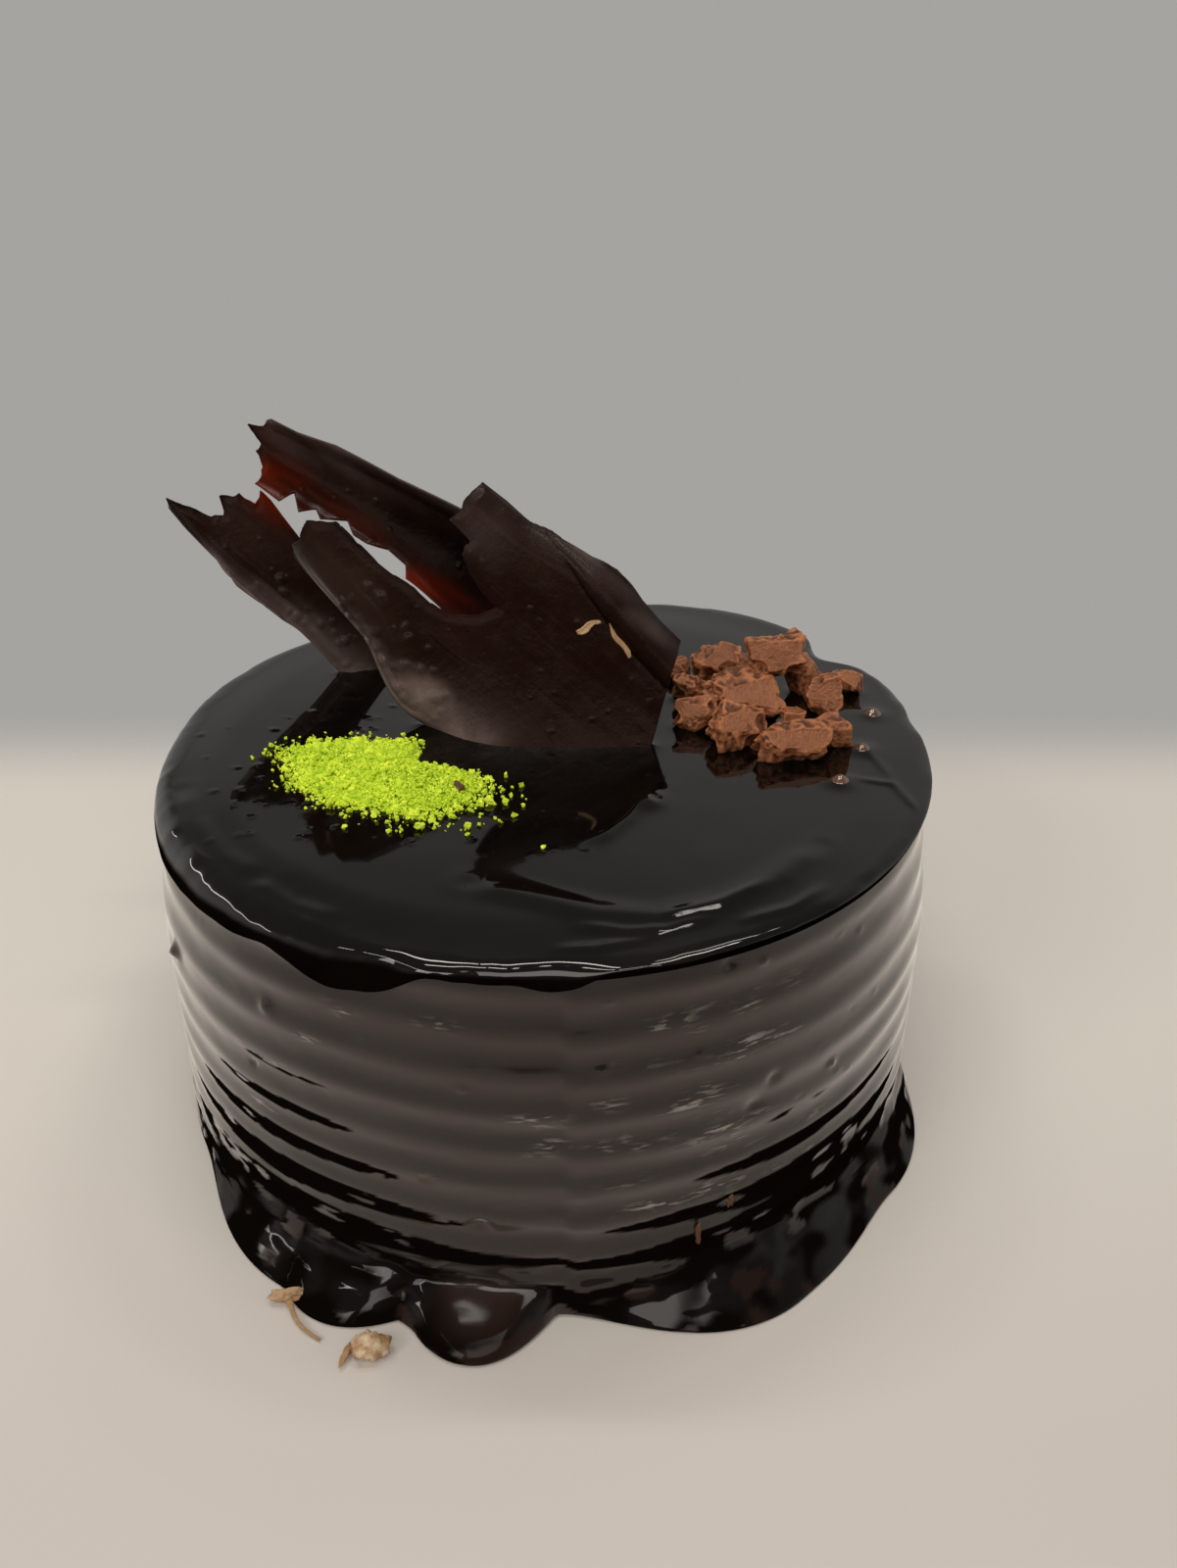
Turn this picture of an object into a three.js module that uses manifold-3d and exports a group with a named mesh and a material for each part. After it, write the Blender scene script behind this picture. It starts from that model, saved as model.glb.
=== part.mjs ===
// A round dark chocolate cake: a combed side, a poured mirror glaze that hangs over the rim and pools at
// the foot, three shards of a broken chocolate roll, a pile of milk chocolate chunks and a drift of green
// crumb. Millimetres, +Z up, origin at the middle of the underside, the front at -Y.
import * as THREE from "three";
import { mergeVertices } from "three/addons/utils/BufferGeometryUtils.js";
import Module from "manifold-3d";

const wasm = await Module();
wasm.setup();

// Driving dimensions
const GAP = 0.3;
const CAKE = { wallRadius: 94, topRadius: 90.8, taperFrom: 54, bodyTop: 86.4, glazeTop: 91, sides: 84 };
const COMB = { pitch: 9.4, depth: 0.8, lowest: 9.3, fadeFrom: 4, wave: 0.6, rowsPerRidge: 4 };
const FOOT = { reach: 0.8, height: 5.0, taper: 1.5, roundness: 0.8, rows: [2.4, 4.6, 7.0] };
const RIM = { rounding: 4.5, softAngle: -160, softSpread: 75, soften: 4, steps: 4 };
const SHOULDER = { width: 16, drop: 1.2, wave: 0.25, insets: [14, 22, 50] };
const LIP = {
  drop: 2.4,
  dropWave: 0.5,
  thickness: 0.6,
  edge: 0.6,
  underside: 0.3,
  proud: 0.3,
  overhang: 0.7,
  overhangWave: 0.2,
  frontAngle: -95,
  frontSpread: 85,
  clearance: 0.4,
  sides: 70,
};
// Where the upper wall and the rim stand out or in, from a height up: angles in degrees, reach in millimetres
const SWELL_FROM = 58;
const SWELLS = [
  { angle: 53, spread: 30, reach: 6.2 },
  { angle: 34, spread: 8, reach: -5 },
  { angle: 22, spread: 16, reach: 4 },
];
const SHARD = { thickness: 1.6, sink: 1.8, slotClearance: 0.4, jag: 0.7, tuckShare: 0.2, startSteps: 6 };
const CRUMB = {
  centre: [-37.5, -19.5],
  halfLength: 27.5,
  halfWidth: 15.5,
  turn: -29,
  height: 4.2,
  crown: 0.8,
  brim: 0.9,
  grain: 1.6,
  raggedness: 1.2,
  lobe: { angle: 80, spread: 30, reach: 3.4 },
  bite: { angle: 22, spread: 28, reach: 6.5 },
  rings: [1, 0.88, 0.75, 0.62, 0.48, 0.34, 0.2],
  sides: 44,
  seed: 5,
};
const DROPS = [
  { at: [82, 12.9], radius: 3.4 },
  { at: [76.0, -6.4], radius: 2.8 },
  { at: [68.2, -21.9], radius: 3.0 },
];
const DROP = { rise: 0.45, sides: 14, rows: 8 };

// Where the glaze pooled at the foot: angle and spread in degrees, reach and height in millimetres.
// A plump pool bulges like a bead, full across its width, and the others taper away as a skirt.
const POOL = { skirtTaper: 1.7, plumpWidth: 0.45 };
const POOLS = [
  { angle: -32, spread: 26, reach: 7.8, height: 12, plump: false },
  { angle: -62, spread: 26, reach: 13.5, height: 11, plump: false },
  { angle: -97.5, spread: 10, reach: 13.5, height: 8.5, plump: true },
  { angle: -114, spread: 9, reach: 5, height: 9.5, plump: true },
  { angle: -124, spread: 28, reach: 9.5, height: 12, plump: false },
  { angle: 38, spread: 18, reach: 6, height: 9, plump: false },
  { angle: 92, spread: 13, reach: 7, height: 8.5, plump: true },
  { angle: 148, spread: 20, reach: 5.5, height: 10, plump: false },
];

// Where the lip of the glaze ran lowest: angle and spread in degrees, extra drop in millimetres.
const RUNS = [
  { angle: -152, spread: 55, drop: 7.5 },
  { angle: -112, spread: 14, drop: 5.2 },
  { angle: -86, spread: 8, drop: 2.8 },
  { angle: -27, spread: 24, drop: 2.4 },
  { angle: 25, spread: 16, drop: 3.0 },
  { angle: 80, spread: 12, drop: 4.0 },
  { angle: 125, spread: 18, drop: 3.0 },
];

// Each shard is a sheet of straight lines that run along the roll. "s" counts up the roll from the foot
// and "t" across it. A border is its t at s = 0, its slope, and a swell that bulges it about an s.
// The broken end is a line of corners, each the share of the width and the s that it reaches. "bow" is how
// far the middle stands towards its face, "tuck" how far the left border turns back and "hem" how far the
// right one does. The lower end is cut by the glaze, or by the heel line in t.
const SHARDS = [
  {
    name: "shard_front",
    foot: [-24.2, 4.4, CAKE.glazeTop],
    along: [-0.759, 0.249, 0.602],
    face: [-0.097, -0.957, 0.273],
    left: { t: -1.5, slope: 0.15, swell: 0, about: 0, spread: 1 },
    right: { t: 52, slope: -0.03, swell: 3.6, about: -7, spread: 26 },
    bow: 2.8,
    tuck: 7,
    hem: { share: 0.88, back: 4 },
    heel: { s: -40.1, t: 32.4, slope: 0.55 },
    end: [
      [0, 52], [0.05, 54.5], [0.17, 55], [0.24, 57], [0.33, 52], [0.36, 38], [0.4, 27], [0.46, 16.5],
      [0.54, 11], [0.6, 9.5], [0.65, 18], [0.68, 24.5], [0.74, 25.5], [0.76, 31], [0.86, 29], [0.97, 31],
      [1, 28],
    ],
    columns: 36,
    rows: 8,
    seed: 11,
  },
  {
    name: "shard_back",
    foot: [20.8, 29.1, CAKE.glazeTop],
    along: [-0.816, 0.197, 0.543],
    face: [0, -0.94, 0.34],
    left: { t: -6.5, slope: -0.04, swell: 0, about: 0, spread: 1 },
    right: { t: 21.5, slope: -0.165, swell: 1.3, about: 75, spread: 45 },
    bow: -5,
    tuck: 0,
    hem: { share: 0.84, back: -4 },
    heel: { s: -3.7, t: 0, slope: 0.9 },
    end: [[0, 107], [0.35, 113], [0.72, 117.5], [0.82, 114], [1, 112.5]],
    columns: 13,
    rows: 17,
    seed: 23,
  },
  {
    name: "shard_left",
    foot: [-48, 37, CAKE.glazeTop],
    along: [-0.71, 0.05, 0.702],
    face: [0.42, -0.8, 0.42],
    left: { t: -4.4, slope: 0.05, swell: -2, about: 44, spread: 26 },
    right: { t: 8, slope: 0.19, swell: 0, about: 0, spread: 1 },
    bow: -2.5,
    tuck: 3,
    hem: { share: 0.95, back: 0 },
    heel: { s: -30, t: 0, slope: 0 },
    end: [
      [0, 65], [0.06, 67], [0.14, 62.5], [0.33, 56], [0.46, 55], [0.54, 57.5], [0.75, 55], [0.82, 50],
      [0.97, 51.5], [1, 48],
    ],
    columns: 16,
    rows: 10,
    seed: 37,
  },
];

// Milk chocolate chunks: place of the middle, full length, depth and height, and turn about Z in degrees.
const CHUNKS = [
  { at: [57.6, -10], size: [17, 10, 9], turn: 8 },
  { at: [68.8, -3.6], size: [8.6, 7.5, 7.5], turn: 20 },
  { at: [45.6, -3.2], size: [14, 10.5, 10], turn: 28 },
  { at: [36.6, 5.8], size: [9.5, 8, 8], turn: -10 },
  { at: [48.4, 12.8], size: [20, 9.5, 9.5], turn: 4 },
  { at: [60.9, 6.4], size: [6.6, 5.4, 5], turn: 15 },
  { at: [69.3, 13.4], size: [9.5, 9.5, 10], turn: -12 },
  { at: [66.6, 25.6], size: [8.5, 8.5, 9.5], turn: 30 },
  { at: [77.4, 26.8], size: [8, 6.4, 6], turn: -18 },
  { at: [58.6, 20.4], size: [14.5, 11, 11], turn: 12, lift: 8.4 },
  { at: [43.4, 31.6], size: [13, 10, 10.5], turn: -8 },
  { at: [36.4, 21.6], size: [9, 7, 6.5], turn: -22 },
  { at: [34.2, 33.4], size: [6, 6, 6], turn: 0 },
  { at: [53.6, 30.4], size: [8, 8, 8.5], turn: 25 },
  { at: [45.6, 22.6], size: [7, 6, 6], turn: 40 },
];
const CHUNK = { squareness: 3.2, roughness: 0.13, seat: 0.86 };

// Two thin flakes on the face of the front shard, each from one point to another in s and t.
const FLAKES = [
  { from: [-9, 39.6], to: [-11.5, 45], width: 2.6 },
  { from: [-13.5, 46.2], to: [-22.5, 43.4], width: 2.4 },
];
const FLAKE = { rise: 0.9, narrowing: 0.7, steps: 3 };
const MERGE_DISTANCE = 1e-4;

const COLOURS = {
  body: { color: "#1d1310", roughness: 0.24, metalness: 0 },
  glaze: { color: "#0d0908", roughness: 0.08, metalness: 0 },
  shard: { color: "#2a1712", roughness: 0.42, metalness: 0 },
  chunk: { color: "#6d3f2a", roughness: 0.55, metalness: 0 },
  crumb: { color: "#a6dc22", roughness: 0.85, metalness: 0 },
};

const radians = THREE.MathUtils.degToRad;
const lerp = THREE.MathUtils.lerp;
const clamp = THREE.MathUtils.clamp;
const smooth = THREE.MathUtils.smoothstep;

// Seeded random numbers from 0 to 1, by a linear congruential rule
const RANDOM = { multiply: 1664525, add: 1013904223, range: 2 ** 32 };
function randomFrom(seed) {
  let state = seed;
  return () => {
    state = (state * RANDOM.multiply + RANDOM.add) % RANDOM.range;
    return state / RANDOM.range;
  };
}

// A bell from 1 at its angle down to 0 at its spread, for angles in radians
function bell(angle, centre, spread) {
  const away = Math.atan2(Math.sin(angle - radians(centre)), Math.cos(angle - radians(centre)));
  const share = Math.min(Math.abs(away) / radians(spread), 1);
  return (1 - share * share) ** 2;
}

// Slow waves round the cake, about -1 to 1
function ripple(angle, shift) {
  const slow = Math.sin(2 * angle + shift);
  const middle = Math.sin(5 * angle + 2.3 * shift);
  const quick = Math.sin(9 * angle + 3.7 * shift);
  return 0.45 * slow + 0.35 * middle + 0.2 * quick;
}

// How far the upper wall stands out from round
function swollen(angle, z) {
  let reach = 0;
  for (const swell of SWELLS) {
    reach += swell.reach * bell(angle, swell.angle, swell.spread);
  }
  return reach * smooth(z, SWELL_FROM, CAKE.bodyTop);
}

// How far the pooled glaze stands out from the wall
function pooled(angle, z) {
  let reach = FOOT.reach * Math.max(0, 1 - z / FOOT.height) ** FOOT.taper;
  for (const pool of POOLS) {
    const up = Math.min(z / pool.height, 1);
    const fall = pool.plump ? Math.sqrt(1 - up * up) : (1 - up) ** POOL.skirtTaper;
    const round = pool.plump ? POOL.plumpWidth : 1;
    reach += pool.reach * bell(angle, pool.angle, pool.spread) ** round * fall;
  }
  return reach;
}

// Radius of the wall without its grooves: upright, then easing in towards the rim
function bareWall(angle, z) {
  const ease = smooth(z, CAKE.taperFrom, CAKE.bodyTop);
  return lerp(CAKE.wallRadius, CAKE.topRadius, ease) + swollen(angle, z);
}

// Radius of the combed wall: a cosine groove each pitch, waving a little round the cake
function wall(angle, z) {
  const phase = ((z - COMB.lowest + COMB.wave * ripple(angle, 1.1)) / COMB.pitch) * 2 * Math.PI;
  const groove = COMB.depth * (0.5 - 0.5 * Math.cos(phase)) * smooth(z, COMB.fadeFrom, COMB.lowest);
  return bareWall(angle, z) - groove + pooled(angle, z);
}

// Height of the glaze over the top, falling away over the shoulder near the rim
function glazeHeight(radius, angle) {
  const share = smooth(radius, CAKE.topRadius - SHOULDER.width, CAKE.topRadius);
  return CAKE.glazeTop - SHOULDER.drop * share * (1 + SHOULDER.wave * ripple(angle, 0.4));
}

// How far the lip stands out, most at the front
function lipReach(angle) {
  const front = bell(angle, LIP.frontAngle, LIP.frontSpread);
  const wave = 1 - LIP.overhangWave + LIP.overhangWave * ripple(angle, 2.2);
  return LIP.proud + LIP.overhang * front * wave;
}

// Height of the lower edge of the lip
function lipBottom(angle) {
  let drop = LIP.drop + LIP.dropWave * ripple(angle, 3.0);
  for (const run of RUNS) {
    drop += run.drop * bell(angle, run.angle, run.spread);
  }
  return CAKE.glazeTop - drop;
}

function fromTriangles(positions, triangles) {
  const geometry = new THREE.BufferGeometry();
  geometry.setAttribute("position", new THREE.Float32BufferAttribute(positions, 3));
  geometry.setIndex(triangles);
  return geometry;
}

// A closed solid of rings about an upright line, from the lower pole to the upper one. Each ring is a
// function of the angle that gives a radius and a height.
function ringSolid(rings, sides, low, high, centre = [0, 0]) {
  const positions = [centre[0], centre[1], low];
  for (const ring of rings) {
    for (let i = 0; i < sides; i += 1) {
      const angle = (i / sides) * 2 * Math.PI;
      const [radius, z] = ring(angle);
      positions.push(centre[0] + radius * Math.cos(angle), centre[1] + radius * Math.sin(angle), z);
    }
  }
  positions.push(centre[0], centre[1], high);
  const at = (ring, side) => 1 + ring * sides + (side % sides);
  const top = positions.length / 3 - 1;
  const triangles = [];
  for (let i = 0; i < sides; i += 1) {
    triangles.push(0, at(0, i + 1), at(0, i));
    for (let ring = 0; ring + 1 < rings.length; ring += 1) {
      triangles.push(at(ring, i), at(ring, i + 1), at(ring + 1, i + 1));
      triangles.push(at(ring, i), at(ring + 1, i + 1), at(ring + 1, i));
    }
    triangles.push(top, at(rings.length - 1, i), at(rings.length - 1, i + 1));
  }
  return fromTriangles(positions, triangles);
}

// A thin closed solid over a grid of points, half its thickness to each side of them
function sheetSolid(grid, thickness) {
  const columns = grid.length;
  const rows = grid[0].length;
  const normalAt = (i, j) => {
    const across = grid[Math.min(i + 1, columns - 1)][j].clone().sub(grid[Math.max(i - 1, 0)][j]);
    const up = grid[i][Math.min(j + 1, rows - 1)].clone().sub(grid[i][Math.max(j - 1, 0)]);
    return across.cross(up).normalize();
  };
  const positions = [];
  for (const side of [0.5, -0.5]) {
    for (let i = 0; i < columns; i += 1) {
      for (let j = 0; j < rows; j += 1) {
        positions.push(...grid[i][j].clone().addScaledVector(normalAt(i, j), side * thickness));
      }
    }
  }
  const at = (side, i, j) => side * columns * rows + i * rows + j;
  const triangles = [];
  const quad = (a, b, c, d) => triangles.push(a, b, c, a, c, d);
  for (let i = 0; i + 1 < columns; i += 1) {
    for (let j = 0; j + 1 < rows; j += 1) {
      quad(at(0, i, j), at(0, i + 1, j), at(0, i + 1, j + 1), at(0, i, j + 1));
      quad(at(1, i, j), at(1, i, j + 1), at(1, i + 1, j + 1), at(1, i + 1, j));
    }
    quad(at(1, i, 0), at(1, i + 1, 0), at(0, i + 1, 0), at(0, i, 0));
    quad(at(0, i, rows - 1), at(0, i + 1, rows - 1), at(1, i + 1, rows - 1), at(1, i, rows - 1));
  }
  for (let j = 0; j + 1 < rows; j += 1) {
    quad(at(1, 0, j), at(0, 0, j), at(0, 0, j + 1), at(1, 0, j + 1));
    quad(at(0, columns - 1, j), at(1, columns - 1, j), at(1, columns - 1, j + 1), at(0, columns - 1, j + 1));
  }
  return fromTriangles(positions, triangles);
}

// Boolean joins and cuts
function solidOf(geometry) {
  const bare = geometry.clone();
  bare.deleteAttribute("normal");
  bare.deleteAttribute("uv");
  const merged = mergeVertices(bare, MERGE_DISTANCE);
  const vertProperties = new Float32Array(merged.attributes.position.array);
  const triVerts = new Uint32Array(merged.index.array);
  return new wasm.Manifold(new wasm.Mesh({ numProp: 3, vertProperties, triVerts }));
}

function geometryOf(solid) {
  const mesh = solid.getMesh();
  return fromTriangles(Array.from(mesh.vertProperties), Array.from(mesh.triVerts));
}

function meshOf(name, geometry, finish) {
  geometry.computeVertexNormals();
  const mesh = new THREE.Mesh(geometry, new THREE.MeshStandardMaterial(finish));
  mesh.name = name;
  return mesh;
}

// The cake under its glaze
function cakeBody() {
  const rowStep = COMB.pitch / COMB.rowsPerRidge;
  const heights = [0, FOOT.roundness, ...FOOT.rows];
  for (let z = COMB.lowest; z < CAKE.bodyTop - rowStep / 2; z += rowStep) {
    heights.push(z);
  }
  heights.push(CAKE.bodyTop);
  const rings = heights.map((z) => (angle) => [wall(angle, z) - (z === 0 ? FOOT.roundness : 0), z]);
  return ringSolid(rings, CAKE.sides, 0, CAKE.bodyTop);
}

// The poured cap: flat underneath, a lip outside the wall, a rounded rim and a nearly level top
function topGlaze() {
  const under = CAKE.bodyTop + GAP;
  const inner = (angle) => bareWall(angle, Math.min(lipBottom(angle), CAKE.bodyTop)) + LIP.clearance;
  const outer = (angle) => inner(angle) + LIP.thickness + lipReach(angle);
  const rounding = (angle) => RIM.rounding + RIM.soften * bell(angle, RIM.softAngle, RIM.softSpread);
  const rings = [
    (angle) => [inner(angle), under],
    (angle) => [inner(angle), lipBottom(angle) + LIP.underside],
    (angle) => [(inner(angle) + outer(angle)) / 2, lipBottom(angle)],
    (angle) => [outer(angle), lipBottom(angle) + LIP.edge],
  ];
  for (let step = 1; step <= RIM.steps; step += 1) {
    const turn = ((step / RIM.steps) * Math.PI) / 2;
    rings.push((angle) => {
      const radius = outer(angle) - rounding(angle) * (1 - Math.cos(turn));
      const crest = glazeHeight(outer(angle) - rounding(angle), angle);
      return [radius, lerp(lipBottom(angle) + LIP.edge, crest, Math.sin(turn))];
    });
  }
  for (const inset of SHOULDER.insets) {
    rings.push((angle) => [outer(angle) - inset, glazeHeight(outer(angle) - inset, angle)]);
  }
  return ringSolid(rings, LIP.sides, under, CAKE.glazeTop);
}

// A low dome of glaze standing on the top
function glazeDrop({ at, radius }) {
  const dome = new THREE.SphereGeometry(radius, DROP.sides, DROP.rows);
  dome.scale(1, 1, DROP.rise);
  const level = glazeHeight(Math.hypot(...at), Math.atan2(at[1], at[0]));
  dome.translate(at[0], at[1], level);
  return dome;
}

// Walks a line of corners by its length, and gives its two coordinates for a share from 0 to 1
function alongLine(corners, widthScale) {
  const lengths = [0];
  for (let i = 1; i < corners.length; i += 1) {
    const wide = (corners[i][0] - corners[i - 1][0]) * widthScale;
    lengths.push(lengths[i - 1] + Math.hypot(wide, corners[i][1] - corners[i - 1][1]));
  }
  const total = lengths[lengths.length - 1];
  return (share) => {
    const walked = share * total;
    const next = clamp(lengths.findIndex((length) => length >= walked), 1, corners.length - 1);
    const part = (walked - lengths[next - 1]) / (lengths[next] - lengths[next - 1]);
    return [0, 1].map((k) => lerp(corners[next - 1][k], corners[next][k], part));
  };
}

// The three directions of a shard: up the roll, across it, and out of its face
function shardAxes(shard) {
  const face = new THREE.Vector3(...shard.face).normalize();
  const along = new THREE.Vector3(...shard.along);
  along.addScaledVector(face, -along.dot(face)).normalize();
  const across = along.clone().cross(face);
  return { along, across, face };
}

// Depth of a shard's sheet in front of its flat plane, at a share of its width
function shardDepth(shard, share) {
  const bow = shard.bow * Math.sin(Math.PI * Math.sqrt(share));
  const tuck = shard.tuck * Math.max(0, 1 - share / SHARD.tuckShare) ** 2;
  const hem = shard.hem.back * smooth(share, shard.hem.share, 1);
  return bow - tuck - hem;
}

function borderAt({ t, slope, swell, about, spread }, s) {
  const away = Math.min(Math.abs(s - about) / spread, 1);
  return t + slope * s + swell * (1 - away * away) ** 2;
}

function shardPoint(shard, axes, share, s) {
  const point = new THREE.Vector3(...shard.foot);
  point.addScaledVector(axes.along, s);
  point.addScaledVector(axes.across, lerp(borderAt(shard.left, s), borderAt(shard.right, s), share));
  point.addScaledVector(axes.face, shardDepth(shard, share));
  return point;
}

// Lower end of one line of the sheet: where it meets a level below the glaze, or the heel line
function shardStart(shard, axes, share, level) {
  let atGlaze = 0;
  for (let step = 0; step < SHARD.startSteps; step += 1) {
    atGlaze += (level - shardPoint(shard, axes, share, atGlaze).z) / axes.along.z;
  }
  const t = lerp(shard.left.t, shard.right.t, share);
  return Math.max(atGlaze, shard.heel.s + (t - shard.heel.t) * shard.heel.slope);
}

// The grid of a shard. "spare" widens it and sinks it deeper, for the slot that it stands in.
function shardGrid(shard, spare = 0) {
  const axes = shardAxes(shard);
  const random = randomFrom(shard.seed);
  const edge = alongLine(shard.end, shard.right.t - shard.left.t);
  const jags = Array.from({ length: shard.rows }, () => SHARD.jag * (2 * random() - 1));
  const grid = [];
  for (let i = 0; i < shard.columns; i += 1) {
    const [share, reach] = edge(i / (shard.columns - 1));
    const start = shardStart(shard, axes, share, CAKE.glazeTop - SHARD.sink - spare) - spare;
    const end = reach + SHARD.jag * (2 * random() - 1);
    const column = [];
    for (let j = 0; j < shard.rows; j += 1) {
      const point = shardPoint(shard, axes, share, lerp(start, end, j / (shard.rows - 1)));
      const border = i === 0 ? -1 : Number(i === shard.columns - 1);
      point.addScaledVector(axes.across, border * (spare + (j === 0 ? 0 : Math.abs(jags[j]))));
      column.push(point);
    }
    grid.push(column);
  }
  return grid;
}

// A thin strip lying on the face of the front shard
function flake({ from, to, width }) {
  const shard = SHARDS[0];
  const axes = shardAxes(shard);
  const onFace = (s, t) => {
    const left = borderAt(shard.left, s);
    const right = borderAt(shard.right, s);
    return shardPoint(shard, axes, (t - left) / (right - left), s);
  };
  const direction = new THREE.Vector2(to[0] - from[0], to[1] - from[1]).normalize();
  const grid = [];
  for (const side of [-0.5, 0.5]) {
    const column = Array.from({ length: FLAKE.steps + 1 }, (_, step) => {
      const share = step / FLAKE.steps;
      const taper = width * (1 - FLAKE.narrowing * share) * side;
      const s = lerp(from[0], to[0], share) - direction.y * taper;
      const t = lerp(from[1], to[1], share) + direction.x * taper;
      return onFace(s, t).addScaledVector(axes.face, SHARD.thickness / 2);
    });
    grid.push(column);
  }
  return sheetSolid(grid, FLAKE.rise);
}

// One rough chunk: a squarish ball with its corners knocked about, flat where it sits
function chunk({ at, size, turn, lift = 0 }, seed) {
  const random = randomFrom(seed);
  const ball = new THREE.IcosahedronGeometry(1, 1);
  ball.deleteAttribute("normal");
  ball.deleteAttribute("uv");
  const geometry = mergeVertices(ball, MERGE_DISTANCE);
  const place = geometry.attributes.position;
  const point = new THREE.Vector3();
  for (let i = 0; i < place.count; i += 1) {
    point.fromBufferAttribute(place, i);
    const square = [point.x, point.y, point.z].reduce((sum, c) => sum + Math.abs(c) ** CHUNK.squareness, 0);
    const reach = square ** (-1 / CHUNK.squareness) * (1 - 2 * CHUNK.roughness * random());
    point.multiplyScalar(reach / 2).multiply(new THREE.Vector3(...size));
    point.z = Math.max(point.z, (-CHUNK.seat * size[2]) / 2);
    place.setXYZ(i, ...point);
  }
  const mesh = meshOf(`chunk_${String(seed).padStart(2, "0")}`, geometry, COLOURS.chunk);
  const level = glazeHeight(Math.hypot(...at), Math.atan2(at[1], at[0])) + GAP;
  mesh.position.set(at[0], at[1], level + lift + (CHUNK.seat * size[2]) / 2);
  mesh.rotation.z = radians(turn);
  return mesh;
}

// The drift of crumb: an oval with a bite in one side, a low crown and a grainy surface
function greenCrumb() {
  const random = randomFrom(CRUMB.seed);
  const { sides, lobe, bite } = CRUMB;
  const edge = Array.from({ length: sides }, () => CRUMB.raggedness * (2 * random() - 1));
  const outline = (angle) => {
    const own = angle - radians(CRUMB.turn);
    const oval = 1 / Math.hypot(Math.cos(own) / CRUMB.halfLength, Math.sin(own) / CRUMB.halfWidth);
    const side = Math.round((angle / (2 * Math.PI)) * sides) % sides;
    const bulge = lobe.reach * bell(angle, lobe.angle, lobe.spread);
    const hollow = bite.reach * bell(angle, bite.angle, bite.spread);
    return oval + bulge - hollow + edge[side];
  };
  const floor = CAKE.glazeTop + GAP;
  const rings = [(angle) => [outline(angle) - CRUMB.brim / 2, floor]];
  for (const share of CRUMB.rings) {
    const crown = CRUMB.height * (1 - share ** 2) ** CRUMB.crown;
    const grain = () => CRUMB.grain * share * (random() - 0.5);
    rings.push((angle) => [outline(angle) * share, floor + CRUMB.brim + Math.max(crown + grain(), 0)]);
  }
  return ringSolid(rings, sides, floor, floor + CRUMB.brim + CRUMB.height, CRUMB.centre);
}

// The whole cake
const cake = new THREE.Group();
cake.name = "chocolate_cake";

const bodyMesh = meshOf("cake_body", cakeBody(), COLOURS.body);
cake.add(bodyMesh);

let glaze = solidOf(topGlaze());
for (const drop of DROPS) {
  glaze = glaze.add(solidOf(glazeDrop(drop)));
}

for (const shard of SHARDS) {
  const slot = shardGrid(shard, SHARD.slotClearance);
  glaze = glaze.subtract(solidOf(sheetSolid(slot, SHARD.thickness + 2 * SHARD.slotClearance)));
  let sheet = solidOf(sheetSolid(shardGrid(shard), SHARD.thickness));
  if (shard === SHARDS[0]) {
    for (const strip of FLAKES) {
      sheet = sheet.add(solidOf(flake(strip)));
    }
  }
  cake.add(meshOf(shard.name, geometryOf(sheet), COLOURS.shard));
}

cake.add(meshOf("top_glaze", geometryOf(glaze), COLOURS.glaze));

CHUNKS.forEach((piece, index) => cake.add(chunk(piece, index + 1)));

cake.add(meshOf("green_crumb", greenCrumb(), COLOURS.crumb));

export default cake;
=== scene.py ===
"""Looks of a round chocolate cake with a mirror glaze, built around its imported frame.

Shapes are worked out in millimetres, in the frame's own axes (+Z up, the front at -Y), as whole numpy
arrays, and are put into the meshes in metres. An angle round the cake is counted from +X towards +Y.
"""
from __future__ import annotations

import logging
from dataclasses import dataclass, field
from enum import Enum
from itertools import product
from typing import Any, Sequence

import bpy
import numpy as np
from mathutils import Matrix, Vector


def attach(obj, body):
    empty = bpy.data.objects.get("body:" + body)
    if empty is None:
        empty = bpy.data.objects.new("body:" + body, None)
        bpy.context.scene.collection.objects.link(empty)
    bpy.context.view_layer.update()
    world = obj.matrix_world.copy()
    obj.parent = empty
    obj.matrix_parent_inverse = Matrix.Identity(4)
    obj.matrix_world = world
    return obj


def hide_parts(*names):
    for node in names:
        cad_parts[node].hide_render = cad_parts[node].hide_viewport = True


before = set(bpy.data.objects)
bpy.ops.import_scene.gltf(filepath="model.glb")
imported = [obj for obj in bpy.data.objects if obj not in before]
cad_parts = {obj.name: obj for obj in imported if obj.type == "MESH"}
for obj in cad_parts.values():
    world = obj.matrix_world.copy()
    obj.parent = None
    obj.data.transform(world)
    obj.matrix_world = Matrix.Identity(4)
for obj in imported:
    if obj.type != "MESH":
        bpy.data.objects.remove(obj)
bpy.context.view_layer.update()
MM = 0.001
BODY = "root"
LOG = logging.getLogger("cake")

Array = np.ndarray
Colour = tuple[float, float, float]
Point = tuple[float, float, float]
Place = tuple[float, float]
Span = tuple[float, float]

# Level of the poured top in millimetres, and the slow waves round the cake: height, turns and lead
GLAZE_TOP = 91.0
SLOW_WAVES = ((0.45, 2, 1.0), (0.35, 5, 2.3), (0.20, 9, 3.7))


class Slot(str, Enum):
    """Material slots of the record."""

    SIDE = "side_glaze"
    TOP = "top_glaze"
    SHARD = "dark_shard"
    CHUNK = "milk_chunk"
    CRUMB = "green_crumb"
    PALE = "pale_bits"


# Numbers and noise


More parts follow.
